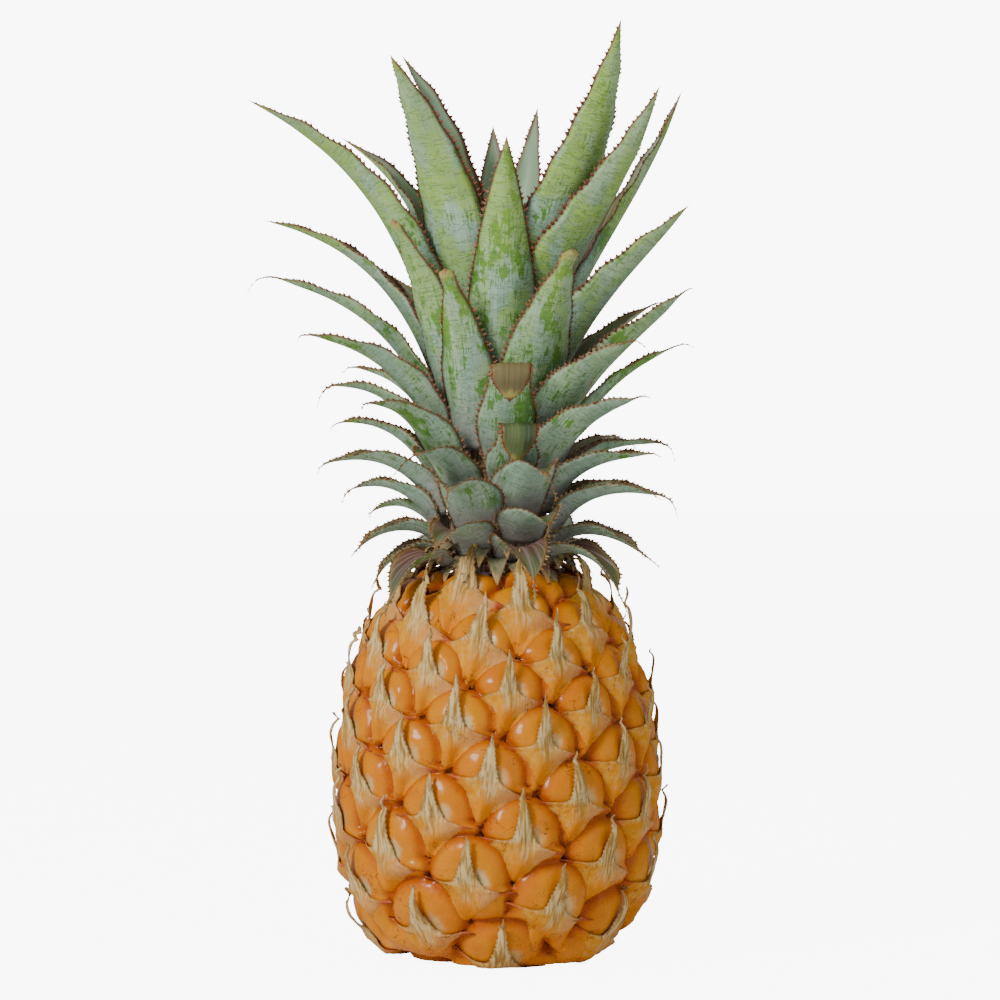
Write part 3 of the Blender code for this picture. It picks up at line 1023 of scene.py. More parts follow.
def heart_tracks(step):
    """Tracks of one young leaf: five outer and three inner points at every station."""
    turn = math.radians(35.0 + 137.508 * step)
    away = np.array([math.cos(turn), math.sin(turn), 0.0])
    side = np.array([-math.sin(turn), math.cos(turn), 0.0])
    up = np.array([0.0, 0.0, 1.0])
    length, start = 50.0 - 3.6 * step, 8.6 - 0.9 * step
    outer, inner = [], []
    for share in (0.0, 0.14, 0.3, 0.5, 0.7, 0.86, 1.0):
        out = start + 3.0 * math.sin(math.pi * share) * (1.0 - 0.06 * step) - 4.5 * share**2
        centre = away * out + up * (HEART_HEIGHT - 2.0 + 0.35 * step + length * share)
        half = (6.6 - 0.42 * step) * (1.0 - share**1.6) * (0.75 + 0.5 * math.sin(math.pi * share))
        hollow = away * 0.07 * half * half
        row = [centre + side * half * place - hollow * place**2 for place in TRACK_PLACES]
        thick = 0.9 * (1.0 - share)
        outer.append(row)
        inner.append([point - away * thick for point in row[1:4]])
    return np.array(outer), np.array(inner)


for step in range(HEART_LEAVES):
    dice = np.random.default_rng(2000 + step)
    outer, inner, where = fine_rows(*heart_tracks(step), dice)
    young = {"age": 0.02, "seed": 500.0 + step, "rubbed": 0.2, "dry": 0.01, "mauve": 0.1}
    young.update(withered=0.0, pale=0.6)
    heart = leaf_piece(f"heart_leaf_{step + 1}", outer, inner, where, young, 70 + step)
print(f"{HEART_LEAVES} young leaves in the heart")

# %% [markdown]
# ## The fruit
#
# The skin is one turned body, raised into eyes by rule. The eyes are points: each one turns
# by the golden angle from the last and climbs a little, more at the foot of the fruit where
# the eyes are larger. Because every eye has fixed numbers away to its neighbours (3, 5, 8,
# 13 or 21 later and earlier), the tree can look those neighbours up and measure how far a
# spot of skin is on the way to each. A seam would fall half way to the neighbour, but the
# round upper part of the lower eye always reaches over it, as on the real fruit.

# %% Place the eyes
SKIN_PROFILE = (
    (0.0, 21.0),
    (1.5, 27.5),
    (4.0, 33.8),
    (8.0, 39.2),
    (13.0, 43.4),
    (20.0, 47.6),
    (34.0, 51.6),
    (55.0, 53.4),
    (75.0, 52.6),
    (93.0, 49.6),
    (107.0, 44.8),
    (117.0, 38.8),
    (124.0, 32.5),
    (128.5, 26.0),
    (131.0, 18.0),
)
SKIN_SINK = 3.4
SKIN_FLOOR = 0.8
GOLDEN_ANGLE = 137.508
EYE_FIRST_AZIMUTH = 134.3
EYE_FIRST_HEIGHT = 3.0
EYE_RISE_TOP = 1.26
EYE_RISE_EXTRA_AT_BASE = 1.0
EYE_RISE_EVEN_FROM = 110.0
EYE_AREA = 515.0
EYE_HEIGHT = 6.2
NEIGHBOURS = (3, 5, 8, 13, 21)
ROUND_RADIUS = 13.3
ROUND_RAISED = 1.6
SPARE_EYES = 21


def rise_at(height):
    low = max(1.0 - max(height, 0.0) / EYE_RISE_EVEN_FROM, 0.0)
    return EYE_RISE_TOP + EYE_RISE_EXTRA_AT_BASE * low * low


profile = np.array(SKIN_PROFILE)
profile_steps = np.linalg.norm(np.diff(profile, axis=0), axis=1)
profile_knots = np.concatenate([[0.0], np.cumsum(profile_steps)])
fine_knots = np.linspace(0.0, profile_knots[-1], 400)
fine_profile = curve_through(profile_knots, profile, fine_knots)


def skin_at(height):
    """Radius, and the direction up along the skin, at a height."""
    spot = float(np.interp(height, fine_profile[:, 0], fine_knots))
    ends = np.clip([spot - 0.5, spot + 0.5], 0, profile_knots[-1])
    low, high = curve_through(profile_knots, profile, ends)
    climb = (high - low) / max(np.linalg.norm(high - low), 1e-6)
    return float((low[1] + high[1]) / 2.0), climb


def eye_places():
    """Azimuth and height of every eye, with spare ones past both ends as neighbours."""
    azimuth, height = EYE_FIRST_AZIMUTH, EYE_FIRST_HEIGHT
    step = rise_at(0.0)
    found = []
    for back in range(SPARE_EYES, 0, -1):
        found.append((azimuth - GOLDEN_ANGLE * back, height - step * back, True))
    while height < FRUIT_TOP - 2.0:
        found.append((azimuth, height, False))
        height += rise_at(height)
        azimuth += GOLDEN_ANGLE
    for _ in range(SPARE_EYES):
        found.append((azimuth, height, True))
        height += EYE_RISE_TOP
        azimuth += GOLDEN_ANGLE
    return found


def eye_points():
    """A cloud of eyes with the directions and the size each one needs."""
    dice = np.random.default_rng(7)
    points, normals, ups, rights, sizes, spares, broad, stands = [[] for _ in range(8)]
    for azimuth, height, spare in eye_places():
        radius, climb = skin_at(height)
        past = max(-height, height - FRUIT_TOP, 0.0)
        radius = max(radius - past * (1.4 if height < 0 else 2.0), 2.0)
        turn = math.radians(azimuth)
        out = np.array([math.cos(turn), math.sin(turn), 0.0])
        right = np.array([-math.sin(turn), math.cos(turn), 0.0])
        up = np.array([0.0, 0.0, climb[0]]) + out * climb[1]
        normal = out * climb[0] - np.array([0.0, 0.0, climb[1]])
        points.append(out * radius + np.array([0.0, 0.0, height]))
        normals.append(normal)
        ups.append(up)
        rights.append(right)
        area = 2 * math.pi * radius * rise_at(height) / max(climb[0], 1e-6)
        sizes.append(math.sqrt(area / EYE_AREA) if climb[0] > 0.2 else 0.8)
        spares.append(float(spare))
        stands.append(float(np.clip(-climb[1] / max(climb[0], 0.3), 0.0, 1.3)))
        wider = 1.0 + 0.3 * float(smoothstep(98.0, 122.0, height))
        broad.append(np.clip(sizes[-1], 0.45, 1.1) * wider)
    mesh = plain_mesh("eyes", points, [])
    for label, values in (("eye_normal", normals), ("eye_up", ups), ("eye_right", rights)):
        set_values(mesh, label, "FLOAT_VECTOR", "POINT", values)
    set_values(mesh, "cell", "FLOAT", "POINT", np.clip(sizes, 0.45, 1.1))
    set_values(mesh, "spare", "FLOAT", "POINT", spares)
    set_values(mesh, "bract_size", "FLOAT", "POINT", broad)
    set_values(mesh, "stand", "FLOAT", "POINT", stands)
    set_values(mesh, "tint", "FLOAT", "POINT", dice.uniform(0, 1, len(points)))
    return new_object("eyes", mesh)


eyes = eye_points()
print(f"{len(eyes.data.vertices) - 2 * SPARE_EYES} eyes")

# %% [markdown]
# ### The skin
#
# The turned body underneath is plain: rows of points round the axis, closed with a fan at
# both ends. The tree finds the nearest eye for each point, measures the way to the seam and
# pushes the point out: high and flat on the eye, falling steeply into the seam, with a
# shallow cup right of the middle where the flower sat. It leaves three things on the skin
# for the finish: where on its eye a spot is, how near the seam it is, and the eye's tint.


# %% The plain body
def turned_body(segments, rows):
    where = np.linspace(0.0, profile_knots[-1], rows)
    outline = curve_through(profile_knots, profile, where)
    climbs = np.gradient(outline, axis=0)
    climbs /= np.linalg.norm(climbs, axis=1, keepdims=True)
    outline[:, 0] += climbs[:, 1] * SKIN_SINK * 0.6
    outline[:, 1] -= climbs[:, 0] * SKIN_SINK
    outline[:, 0] = np.maximum(outline[:, 0], SKIN_FLOOR)
    inner = [(SKIN_FLOOR, outline[0, 1] * share) for share in (0.35, 0.7)]
    outer = [(outline[-1, 0], outline[-1, 1] * share) for share in (0.7, 0.35)]
    outline = np.array([*inner, *outline, *outer])
    points = [(0.0, 0.0, outline[0, 0])]
    for height, radius in outline:
        for k in range(segments):
            turn = 2 * math.pi * k / segments
            points.append((radius * math.cos(turn), radius * math.sin(turn), height))
    points.append((0.0, 0.0, outline[-1, 0]))
    faces = [(0, 1 + (k + 1) % segments, 1 + k) for k in range(segments)]
    for row in range(len(outline) - 1):
        start = 1 + row * segments
        for k in range(segments):
            a, b = start + k, start + (k + 1) % segments
            faces.append((a, b, b + segments, a + segments))
    start = 1 + (len(outline) - 1) * segments
    last = len(points) - 1
    faces += [(start + k, start + (k + 1) % segments, last) for k in range(segments)]
    mesh = plain_mesh("body", points, faces)
    heights = np.array([p[2] for p in points])
    radii = np.array([math.hypot(p[0], p[1]) for p in points])
    fade = smoothstep(1.0, 4.0, heights) * smoothstep(17.0, 24.0, radii)
    set_values(mesh, "fade", "FLOAT", "POINT", fade)
    return new_object("body", mesh)


# %% The tree that raises the eyes
def nearest_eye(tree, cloud, place):
    return add_node(
        tree,
        "GeometryNodeSampleNearest",
        {"Geometry": cloud, "Sample Position": place},
        domain="POINT",
    ).outputs["Index"]


def of_eye(tree, cloud, index, value, kind="FLOAT_VECTOR"):
    made = add_node(tree, "GeometryNodeSampleIndex", data_type=kind, domain="POINT", clamp=True)
    feed(tree, made.inputs["Geometry"], cloud)
    feed(tree, made.inputs["Value"], value)
    feed(tree, made.inputs["Index"], index)
    return made.outputs["Value"]


def eye_value(tree, cloud, index, label, kind="FLOAT"):
    return of_eye(tree, cloud, index, named(tree, label, kind), kind)


def eye_direction(tree, cloud, index, label):
    return eye_value(tree, cloud, index, label, "FLOAT_VECTOR")


def squared(tree, value):
    return times(tree, value, value)


def disc_group():
    """How far a place is from the round middle of an eye: 1 on its outline."""
    inputs = {
        "Eyes": "Geometry",
        "Index": "Int",
        "Place": "Vector",
        "Radius": ROUND_RADIUS * MM,
        "Raised": ROUND_RAISED * MM,
    }
    tree, given, out = new_tree("round of an eye", inputs, "Share")
    place = add_node(tree, "GeometryNodeInputPosition").outputs[0]
    centre = of_eye(tree, given["Eyes"], given["Index"], place)
    up = eye_direction(tree, given["Eyes"], given["Index"], "eye_up")
    cell = eye_value(tree, given["Eyes"], given["Index"], "cell")
    rise = scaled(tree, up, times(tree, given["Raised"], cell))
    middle = vector(tree, "ADD", centre, rise)
    distance = vector(tree, "DISTANCE", given["Place"], middle)
    share = calc(tree, "DIVIDE", distance, times(tree, given["Radius"], cell))
    feed(tree, out["Share"], share)
    return tree


def round_share(tree, group, cloud, index, place):
    made = add_node(tree, "GeometryNodeGroup", node_tree=group)
    for label, value in (("Eyes", cloud), ("Index", index), ("Place", place)):
        feed(tree, made.inputs[label], value)
    return made.outputs["Share"]


def owner_of(tree, group, cloud, place):
    """The eye a place belongs to: the nearest, unless a lower eye's round reaches it."""
    nearest = nearest_eye(tree, cloud, place)
    owner = nearest
    for steps in NEIGHBOURS:
        lower = minus(tree, nearest, float(steps))
        inside = calc(tree, "LESS_THAN", round_share(tree, group, cloud, lower, place), 1.0)
        switch = add_node(tree, "GeometryNodeSwitch", input_type="INT")
        for label, value in (("Switch", inside), ("False", owner), ("True", lower)):
            feed(tree, switch.inputs[label], value)
        owner = switch.outputs[0]
    return owner


def above_floor(tree, geometry, height):
    """Nothing of the fruit reaches below the plane it rests on."""
    place = add_node(tree, "GeometryNodeInputPosition").outputs[0]
    spot = add_node(tree, "ShaderNodeSeparateXYZ", {0: place}).outputs
    kept = calc(tree, "MAXIMUM", spot[2], height)
    raised = add_node(tree, "ShaderNodeCombineXYZ", {0: spot[0], 1: spot[1], 2: kept}).outputs[0]
    return add_node(
        tree, "GeometryNodeSetPosition", {"Geometry": geometry, "Position": raised}
    ).outputs[0]


def skin_tree():
    inputs = {
        "Geometry": "Geometry",
        "Eyes": "Object",
        "Finish": "Material",
        "Height": EYE_HEIGHT * MM,
        "Cup depth": 1.5 * MM,
    }
    tree, given, out = new_tree("eyes raised on the skin", inputs)
    cloud = add_node(tree, "GeometryNodeObjectInfo", {"Object": given["Eyes"]}).outputs["Geometry"]
    place = add_node(tree, "GeometryNodeInputPosition").outputs[0]
    rounds = disc_group()
    index = owner_of(tree, rounds, cloud, place)
    eye = of_eye(tree, cloud, index, place)
    away = vector(tree, "SUBTRACT", place, eye)
    right = eye_direction(tree, cloud, index, "eye_right")
    up = eye_direction(tree, cloud, index, "eye_up")
    cell = eye_value(tree, cloud, index, "cell")
    tint = eye_value(tree, cloud, index, "tint")
    u = calc(tree, "DIVIDE", vector(tree, "DOT_PRODUCT", away, right), times(tree, cell, MM))
    v = calc(tree, "DIVIDE", vector(tree, "DOT_PRODUCT", away, up), times(tree, cell, MM))

    above = ramp(tree, v, -7.0, -1.0)
    own = times(tree, round_share(tree, rounds, cloud, index, place), above)
    total = calc(tree, "POWER", own, 9.0)
    for steps in NEIGHBOURS:
        lower = minus(tree, index, float(steps))
        gap = minus(tree, round_share(tree, rounds, cloud, lower, place), 1.0)
        way = calc(tree, "MAXIMUM", minus(tree, 1.0, calc(tree, "DIVIDE", gap, 0.68)), 0.0)
        total = plus(tree, total, calc(tree, "POWER", way, 9.0))
    seam = calc(tree, "POWER", total, 1.0 / 9.0)
    fall = calc(tree, "POWER", calc(tree, "MINIMUM", calc(tree, "DIVIDE", seam, 1.05), 1.0), 2.6)
    dome = calc(tree, "POWER", minus(tree, 1.0, fall), 0.62)
    high = times(tree, times(tree, given["Height"], cell), dome)
    du, dv = minus(tree, u, 3.2), minus(tree, v, 0.5)
    reach = calc(tree, "SQRT", plus(tree, squared(tree, du), times(tree, squared(tree, dv), 0.55)))
    cup = times(tree, ramp(tree, reach, 0.8, 4.4, 1.0, 0.0), given["Cup depth"])
    waist_u = calc(tree, "ABSOLUTE", minus(tree, u, 0.3))
    narrow = ramp(tree, waist_u, 0.0, 4.0, 1.0, 0.0)
    waist = times(tree, narrow, ramp(tree, v, 12.0, 2.0, 0.0, 1.1 * MM))
    lumps = add_node(tree, "ShaderNodeTexNoise", {"Vector": place, "Scale": 130.0, "Detail": 3.0})
    rough = times(tree, minus(tree, lumps.outputs["Fac"], 0.5), 1.7 * MM)
    height = minus(tree, minus(tree, plus(tree, high, rough), cup), waist)
    fade = named(tree, "fade")
    height = times(tree, height, fade)
    normal = add_node(tree, "GeometryNodeInputNormal").outputs[0]
    push = scaled(tree, normal, height)

    centre = add_node(tree, "GeometryNodeFieldOnDomain", domain="FACE", data_type="FLOAT_VECTOR")
    feed(tree, centre.inputs[0], place)
    face_eye = owner_of(tree, rounds, cloud, centre.outputs[0])
    face_index = add_node(tree, "GeometryNodeFieldOnDomain", domain="FACE", data_type="INT")
    feed(tree, face_index.inputs[0], face_eye)
    flat_index = face_index.outputs[0]
    flat_away = vector(tree, "SUBTRACT", place, of_eye(tree, cloud, flat_index, place))
    flat_right = eye_direction(tree, cloud, flat_index, "eye_right")
    flat_up = eye_direction(tree, cloud, flat_index, "eye_up")
    scale = times(tree, eye_value(tree, cloud, flat_index, "cell"), MM)
    on_eye = add_node(
        tree,
        "ShaderNodeCombineXYZ",
        {
            0: calc(tree, "DIVIDE", vector(tree, "DOT_PRODUCT", flat_away, flat_right), scale),
            1: calc(tree, "DIVIDE", vector(tree, "DOT_PRODUCT", flat_away, flat_up), scale),
        },
    )
    geometry = given["Geometry"]
    for label, kind, domain, value in (
        ("eye_mm", "FLOAT2", "CORNER", on_eye.outputs[0]),
        ("seam", "FLOAT", "POINT", seam),
        ("tint", "FLOAT", "POINT", tint),
    ):
        keep = add_node(tree, "GeometryNodeStoreNamedAttribute", data_type=kind, domain=domain)
        feed(tree, keep.inputs["Geometry"], geometry)
        keep.inputs["Name"].default_value = label
        feed(tree, keep.inputs["Value"], value)
        geometry = keep.outputs[0]
    raised = add_node(tree, "GeometryNodeSetPosition", {"Geometry": geometry, "Offset": push})
    rested = above_floor(tree, raised.outputs[0], SKIN_FLOOR * MM)
    smooth = add_node(tree, "GeometryNodeSetShadeSmooth", {"Geometry": rested})
    finished = with_finish(tree, smooth.outputs[0], given["Finish"])
    feed(tree, out["Geometry"], finished)
    return tree


# %% [markdown]
# ### What the skin is made of
#
# Ripe skin is glossy golden orange. A painted highlight makes the top of each eye's dome
# yellower, and painted shade makes the seams deep orange to red, nearly black in patches at
# the bottom of the seams where three eyes meet. The cup of the old flower stays pale, with a
# touch of green. Fine pores and scratches break the gloss.


# %% Skin finish
def skin_finish():
    made, tree, shader = new_finish("ripe skin")
    place = object_mm(tree)
    seam, tint = stored(tree, "seam"), stored(tree, "tint")
    on_eye = uv_of(tree, "eye_mm")
    u, v = split(tree, on_eye)
    soft = use_group(tree, MOTTLE, Coordinates=place, Scale=0.11, From=0.3, To=0.7)
    colour = blend(tree, soft["Mask"], "DC8000", "E29200")
    colour = blend(tree, times(tree, tint, 0.35), colour, "D86C00")
    # painted highlight: the top of each eye's dome, where the light falls, is made yellower
    painted_highlight_crest = times(tree, ramp(tree, seam, 0.75, 0.2), 0.3)
    colour = blend(tree, painted_highlight_crest, colour, "E69C00")
    # painted shade: the seams between the eyes are made deep orange to red
    painted_seam_shade = ramp(tree, seam, 0.74, 1.0)
    colour = blend(tree, times(tree, painted_seam_shade, 0.85), colour, "B04800")
    # painted shade: nearly black in patches at the bottom of the seams, where three eyes meet
    pit_shade_patches = use_group(tree, MOTTLE, Coordinates=place, Scale=0.1, From=0.5, To=0.62)
    painted_pit_shade = times(tree, ramp(tree, seam, 0.99, 1.07), ramp(tree, pit_shade_patches["Mask"], 0.0, 1.0, 0.35, 1.0))
    colour = blend(tree, painted_pit_shade, colour, "3A1406")
    du, dv = minus(tree, u, 3.3), minus(tree, v, 0.6)
    reach = calc(tree, "SQRT", plus(tree, squared(tree, du), times(tree, squared(tree, dv), 0.5)))
    lumpy = use_group(tree, MOTTLE, Coordinates=place, Scale=0.45, Detail=5.0, From=0.35, To=0.6)
    ragged = plus(tree, reach, times(tree, lumpy["Noise"], 2.4))
    kept = ramp(tree, tint, 0.0, 1.0, 0.95, 0.55)
    cup = times(tree, ramp(tree, ragged, 2.3, 5.0, 1.0, 0.0), kept)
    pale = blend(tree, ramp(tree, ragged, 1.0, 3.4), "B9BC7C", "ECCF98")
    colour = blend(tree, cup, colour, pale)
    fine = use_group(tree, MOTTLE, Coordinates=place, Scale=1.3, From=0.55, To=0.7)
    colour = blend(tree, times(tree, fine["Mask"], 0.2), colour, "EE9C08")
    marks = use_group(tree, FLECKS, Coordinates=place, Scale=0.16, Width=0.012, Rarity=0.56)
    colour = blend(tree, times(tree, marks["Mask"], 0.75), colour, "6B2F10")
    specks = use_group(tree, FLECKS, Coordinates=place, Scale=0.5, Width=0.03, Rarity=0.64)
    colour = blend(tree, times(tree, specks["Mask"], 0.6), colour, "7A3B14")
    feed(tree, shader["Base Color"], colour)
    matt = times(tree, cup, 0.3)
    rough = plus(tree, ramp(tree, lumpy["Noise"], 0.3, 0.7, 0.3, 0.46), matt)
    feed(tree, shader["Roughness"], rough)
    shader["Specular IOR Level"].default_value = 0.08
    shader["Coat Weight"].default_value = 0.3
    shader["Coat Roughness"].default_value = 0.16
    shader["Subsurface Weight"].default_value = 0.12
    shader["Subsurface Radius"].default_value = (0.003, 0.0012, 0.0004)
    shader["Subsurface Scale"].default_value = 1.0
    pores = add_node(tree, "ShaderNodeTexNoise", {"Vector": place, "Scale": 0.8, "Detail": 4.0})
    first = bump(tree, pores.outputs["Fac"], 0.35, 0.5)
    second = bump(tree, marks["Mask"], 0.5, -0.25, first)
    feed(tree, shader["Normal"], second)
    return made


# %% Raise the eyes
finish_skin = skin_finish()
skin = run_nodes(
    turned_body(340, 230),
    skin_tree(),
    {"Eyes": eyes, "Finish": finish_skin, "Height": EYE_HEIGHT * MM, "Cup depth": 1.5 * MM},
    "fruit_skin",
)
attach(skin, "root")
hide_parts("fruit")
radii = [math.hypot(v.co.x, v.co.y) / MM for v in skin.data.vertices]
print(f"skin of {len(skin.data.polygons)} faces, widest radius {max(radii):.1f} mm")

# %% [markdown]
# ### The bracts
#
# Under every eye grew one leafy scale. What is left is a keeled plate: two pointed wings
# that reach out along the seams, a keel running down between the two lower neighbours, and
# a papery saw-edged tip that stands up over the middle of the eye. The plate hugs the skin,
# so each shape is drawn flat and the tree drops it onto the skin it belongs to; `lift` says
# how far above the skin a point then stands.

# %% Bract shapes
BRACT_HALF_WIDTHS = (
    (-14.5, 0.4),
    (-11.0, 3.2),
    (-8.0, 5.4),
    (-5.0, 8.0),
    (-3.2, 11.0),
    (-2.4, 13.2),
    (-1.8, 14.6),
    (-1.3, 10.8),
    (-0.8, 7.6),
    (0.0, 5.0),
    (1.0, 3.8),
    (2.5, 3.0),
    (5.0, 2.3),
    (8.0, 1.6),
    (11.0, 0.9),
    (13.0, 0.5),
    (15.0, 0.08),
)
BRACT_ACROSS = np.linspace(-1.0, 1.0, 9)
BRACT_THICKNESS = 0.4
BRACT_TILT = 0.22
BRACT_FOOT_SHIFT = 2.6
KEEL_HEIGHT = 1.7
WING_EDGE_LIFT = 0.9


def bract_shape(number):
    """One closed bract, flat, with lift, drawn in millimetres on the eye."""
    dice = np.random.default_rng(300 + number)
    table = np.array(BRACT_HALF_WIDTHS)
    plate_rows = (-2.8, -2.3, -1.8, -1.55, -1.3, -1.05, -0.8, -0.5)
    foot_rows, tip_rows = np.linspace(-14.5, -3.4, 11), np.linspace(0.0, 15.0, 24)
    stations = np.concatenate([foot_rows, plate_rows, tip_rows])
    lean = dice.uniform(-1.2, 2.4)
    curl = dice.uniform(1.0, 3.6)
    stretch = dice.uniform(0.95, 1.28)
    points, lifts, flat, shares, free_lengths = [], [], [], [], []
    for row, station in enumerate(stations):
        half = float(np.interp(station, table[:, 0], table[:, 1]))
        free = float(smoothstep(-0.5, 14.0, station))
        low = float(smoothstep(-14.5, -7.0, station))
        ridge = KEEL_HEIGHT * low * (1.0 - 0.55 * free)
        foot = BRACT_FOOT_SHIFT * float(smoothstep(-3.0, -14.5, station))
        rim = WING_EDGE_LIFT * float(smoothstep(-2.6, -1.0, station)) * (1.0 - 0.5 * free)
        tooth = 0.5 * (row % 2) * float(smoothstep(15.0, 11.0, station)) if station > -1.0 else 0.0
        for place in BRACT_ACROSS:
            edge = abs(place) > 0.9
            wide = half * (1.0 + dice.uniform(-0.06, 0.06) * edge) + tooth * edge
            x = place * wide + lean * free**1.4 - foot
            y = station if station < 0 else station * stretch
            y -= BRACT_TILT * place * half * (1.0 - free)
            high = 0.15 + ridge * (1.0 - abs(place)) + rim * abs(place) + curl * free**1.7
            if edge and station < -2.6:
                high = -0.3
            points.append((x, y))
            lifts.append(high if row else -0.4)
            flat.append((place * half, station))
            shares.append(place)
            free_lengths.append(max(station * stretch - 1.5, 0.0))
    count, columns = len(points), len(BRACT_ACROSS)
    rows = len(stations)
    top = [(x, y, 0.0) for x, y in points]
    low = [(x * 0.985, y, -BRACT_THICKNESS) for x, y in points]
    faces = []
    for row in range(rows - 1):
        for k in range(columns - 1):
            a = row * columns + k
            quad = (a, a + 1, a + columns + 1, a + columns)
            faces.append(quad)
            faces.append(tuple(count + i for i in reversed(quad)))
    rim = list(range(columns)) + [r * columns + columns - 1 for r in range(1, rows)]
    rim += [(rows - 1) * columns + k for k in range(columns - 2, -1, -1)]
    rim += [r * columns for r in range(rows - 2, 0, -1)]
    for k, a in enumerate(rim):
        b = rim[(k + 1) % len(rim)]
        faces.append((b, a, count + a, count + b))
    mesh = plain_mesh(f"bract_{number}", top + low, faces)
    set_values(mesh, "lift", "FLOAT", "POINT", lifts + [v - BRACT_THICKNESS for v in lifts])
    set_values(mesh, "free", "FLOAT", "POINT", free_lengths * 2)
    corners = np.array([corner.vertex_index for corner in mesh.loops])
    layer = mesh.uv_layers.new(name="bract_mm")
    layer.data.foreach_set("uv", np.array(flat * 2, dtype=np.float32)[corners].ravel())
    set_values(mesh, "bract_edge", "FLOAT", "POINT", [abs(s) for s in shares] * 2)
    return new_object(f"bract_shape_{number}", mesh)


# %% The tree that lays a bract on every eye
def bract_tree():
    inputs = {
        "Geometry": "Geometry",
        "Shapes": "Collection",
        "Skin": "Object",
        "Finish": "Material",
        "Seed": 3,
    }
    tree, given, out = new_tree("a bract on every eye", inputs)
    spare = calc(tree, "GREATER_THAN", named(tree, "spare"), 0.5)
    real_eyes = add_node(
        tree,
        "GeometryNodeDeleteGeometry",
        {"Geometry": given["Geometry"], "Selection": spare},
        domain="POINT",
    )
    shapes, pick = picked(tree, given["Shapes"], 5, given["Seed"])
    normal = named(tree, "eye_normal", "FLOAT_VECTOR")
    up = named(tree, "eye_up", "FLOAT_VECTOR")
    size = times(tree, named(tree, "bract_size"), random_value(tree, 0.94, 1.05, given["Seed"]))
    right = named(tree, "eye_right", "FLOAT_VECTOR")
    twist = scaled(tree, right, random_value(tree, -0.12, 0.12, given["Seed"]))
    up = vector(tree, "ADD", up, twist)
    stood = add_node(
        tree,
        "GeometryNodeInstanceOnPoints",
        {
            "Points": real_eyes.outputs[0],
            "Instance": shapes,
            "Pick Instance": True,
            "Instance Index": pick,
            "Rotation": axes(tree, normal, up, "Z", "Y"),
            "Scale": size,
        },
    )
    real = add_node(tree, "GeometryNodeRealizeInstances", {0: stood.outputs["Instances"]})
    target = add_node(tree, "GeometryNodeObjectInfo", {"Object": given["Skin"]}).outputs["Geometry"]
    place = add_node(tree, "GeometryNodeInputPosition").outputs[0]
    reach = vector(tree, "MULTIPLY", normal, (0.02, 0.02, 0.02))
    hit = add_node(
        tree,
        "GeometryNodeRaycast",
        {
            "Target Geometry": target,
            "Source Position": vector(tree, "ADD", place, reach),
            "Ray Direction": vector(tree, "MULTIPLY", normal, (-1.0, -1.0, -1.0)),
            "Ray Length": 0.06,
        },
    )
    steep = plus(tree, times(tree, named(tree, "stand"), 0.85), 0.06)
    upright = times(tree, named(tree, "free"), steep)
    total = plus(tree, named(tree, "lift"), upright)
    stand = times(tree, times(tree, total, named(tree, "cell")), MM)
    lifted = scaled(tree, normal, stand)
    laid = add_node(
        tree,
        "GeometryNodeSetPosition",
        {
            "Geometry": real.outputs[0],
            "Selection": hit.outputs["Is Hit"],
            "Position": vector(tree, "ADD", hit.outputs["Hit Position"], lifted),
        },
    )
    rested = above_floor(tree, laid.outputs[0], 0.3 * MM)
    smooth = add_node(tree, "GeometryNodeSetShadeSmooth", {"Geometry": rested})
    finished = with_finish(tree, smooth.outputs[0], given["Finish"])
    feed(tree, out["Geometry"], finished)
    return tree


# %% [markdown]
# A bract is three things at once: golden and fleshy along the keel, peach coloured and
# mottled on the wings, which redden to their points, and dry cream paper in the free tip
# with greenish grooves and a brown, torn edge.


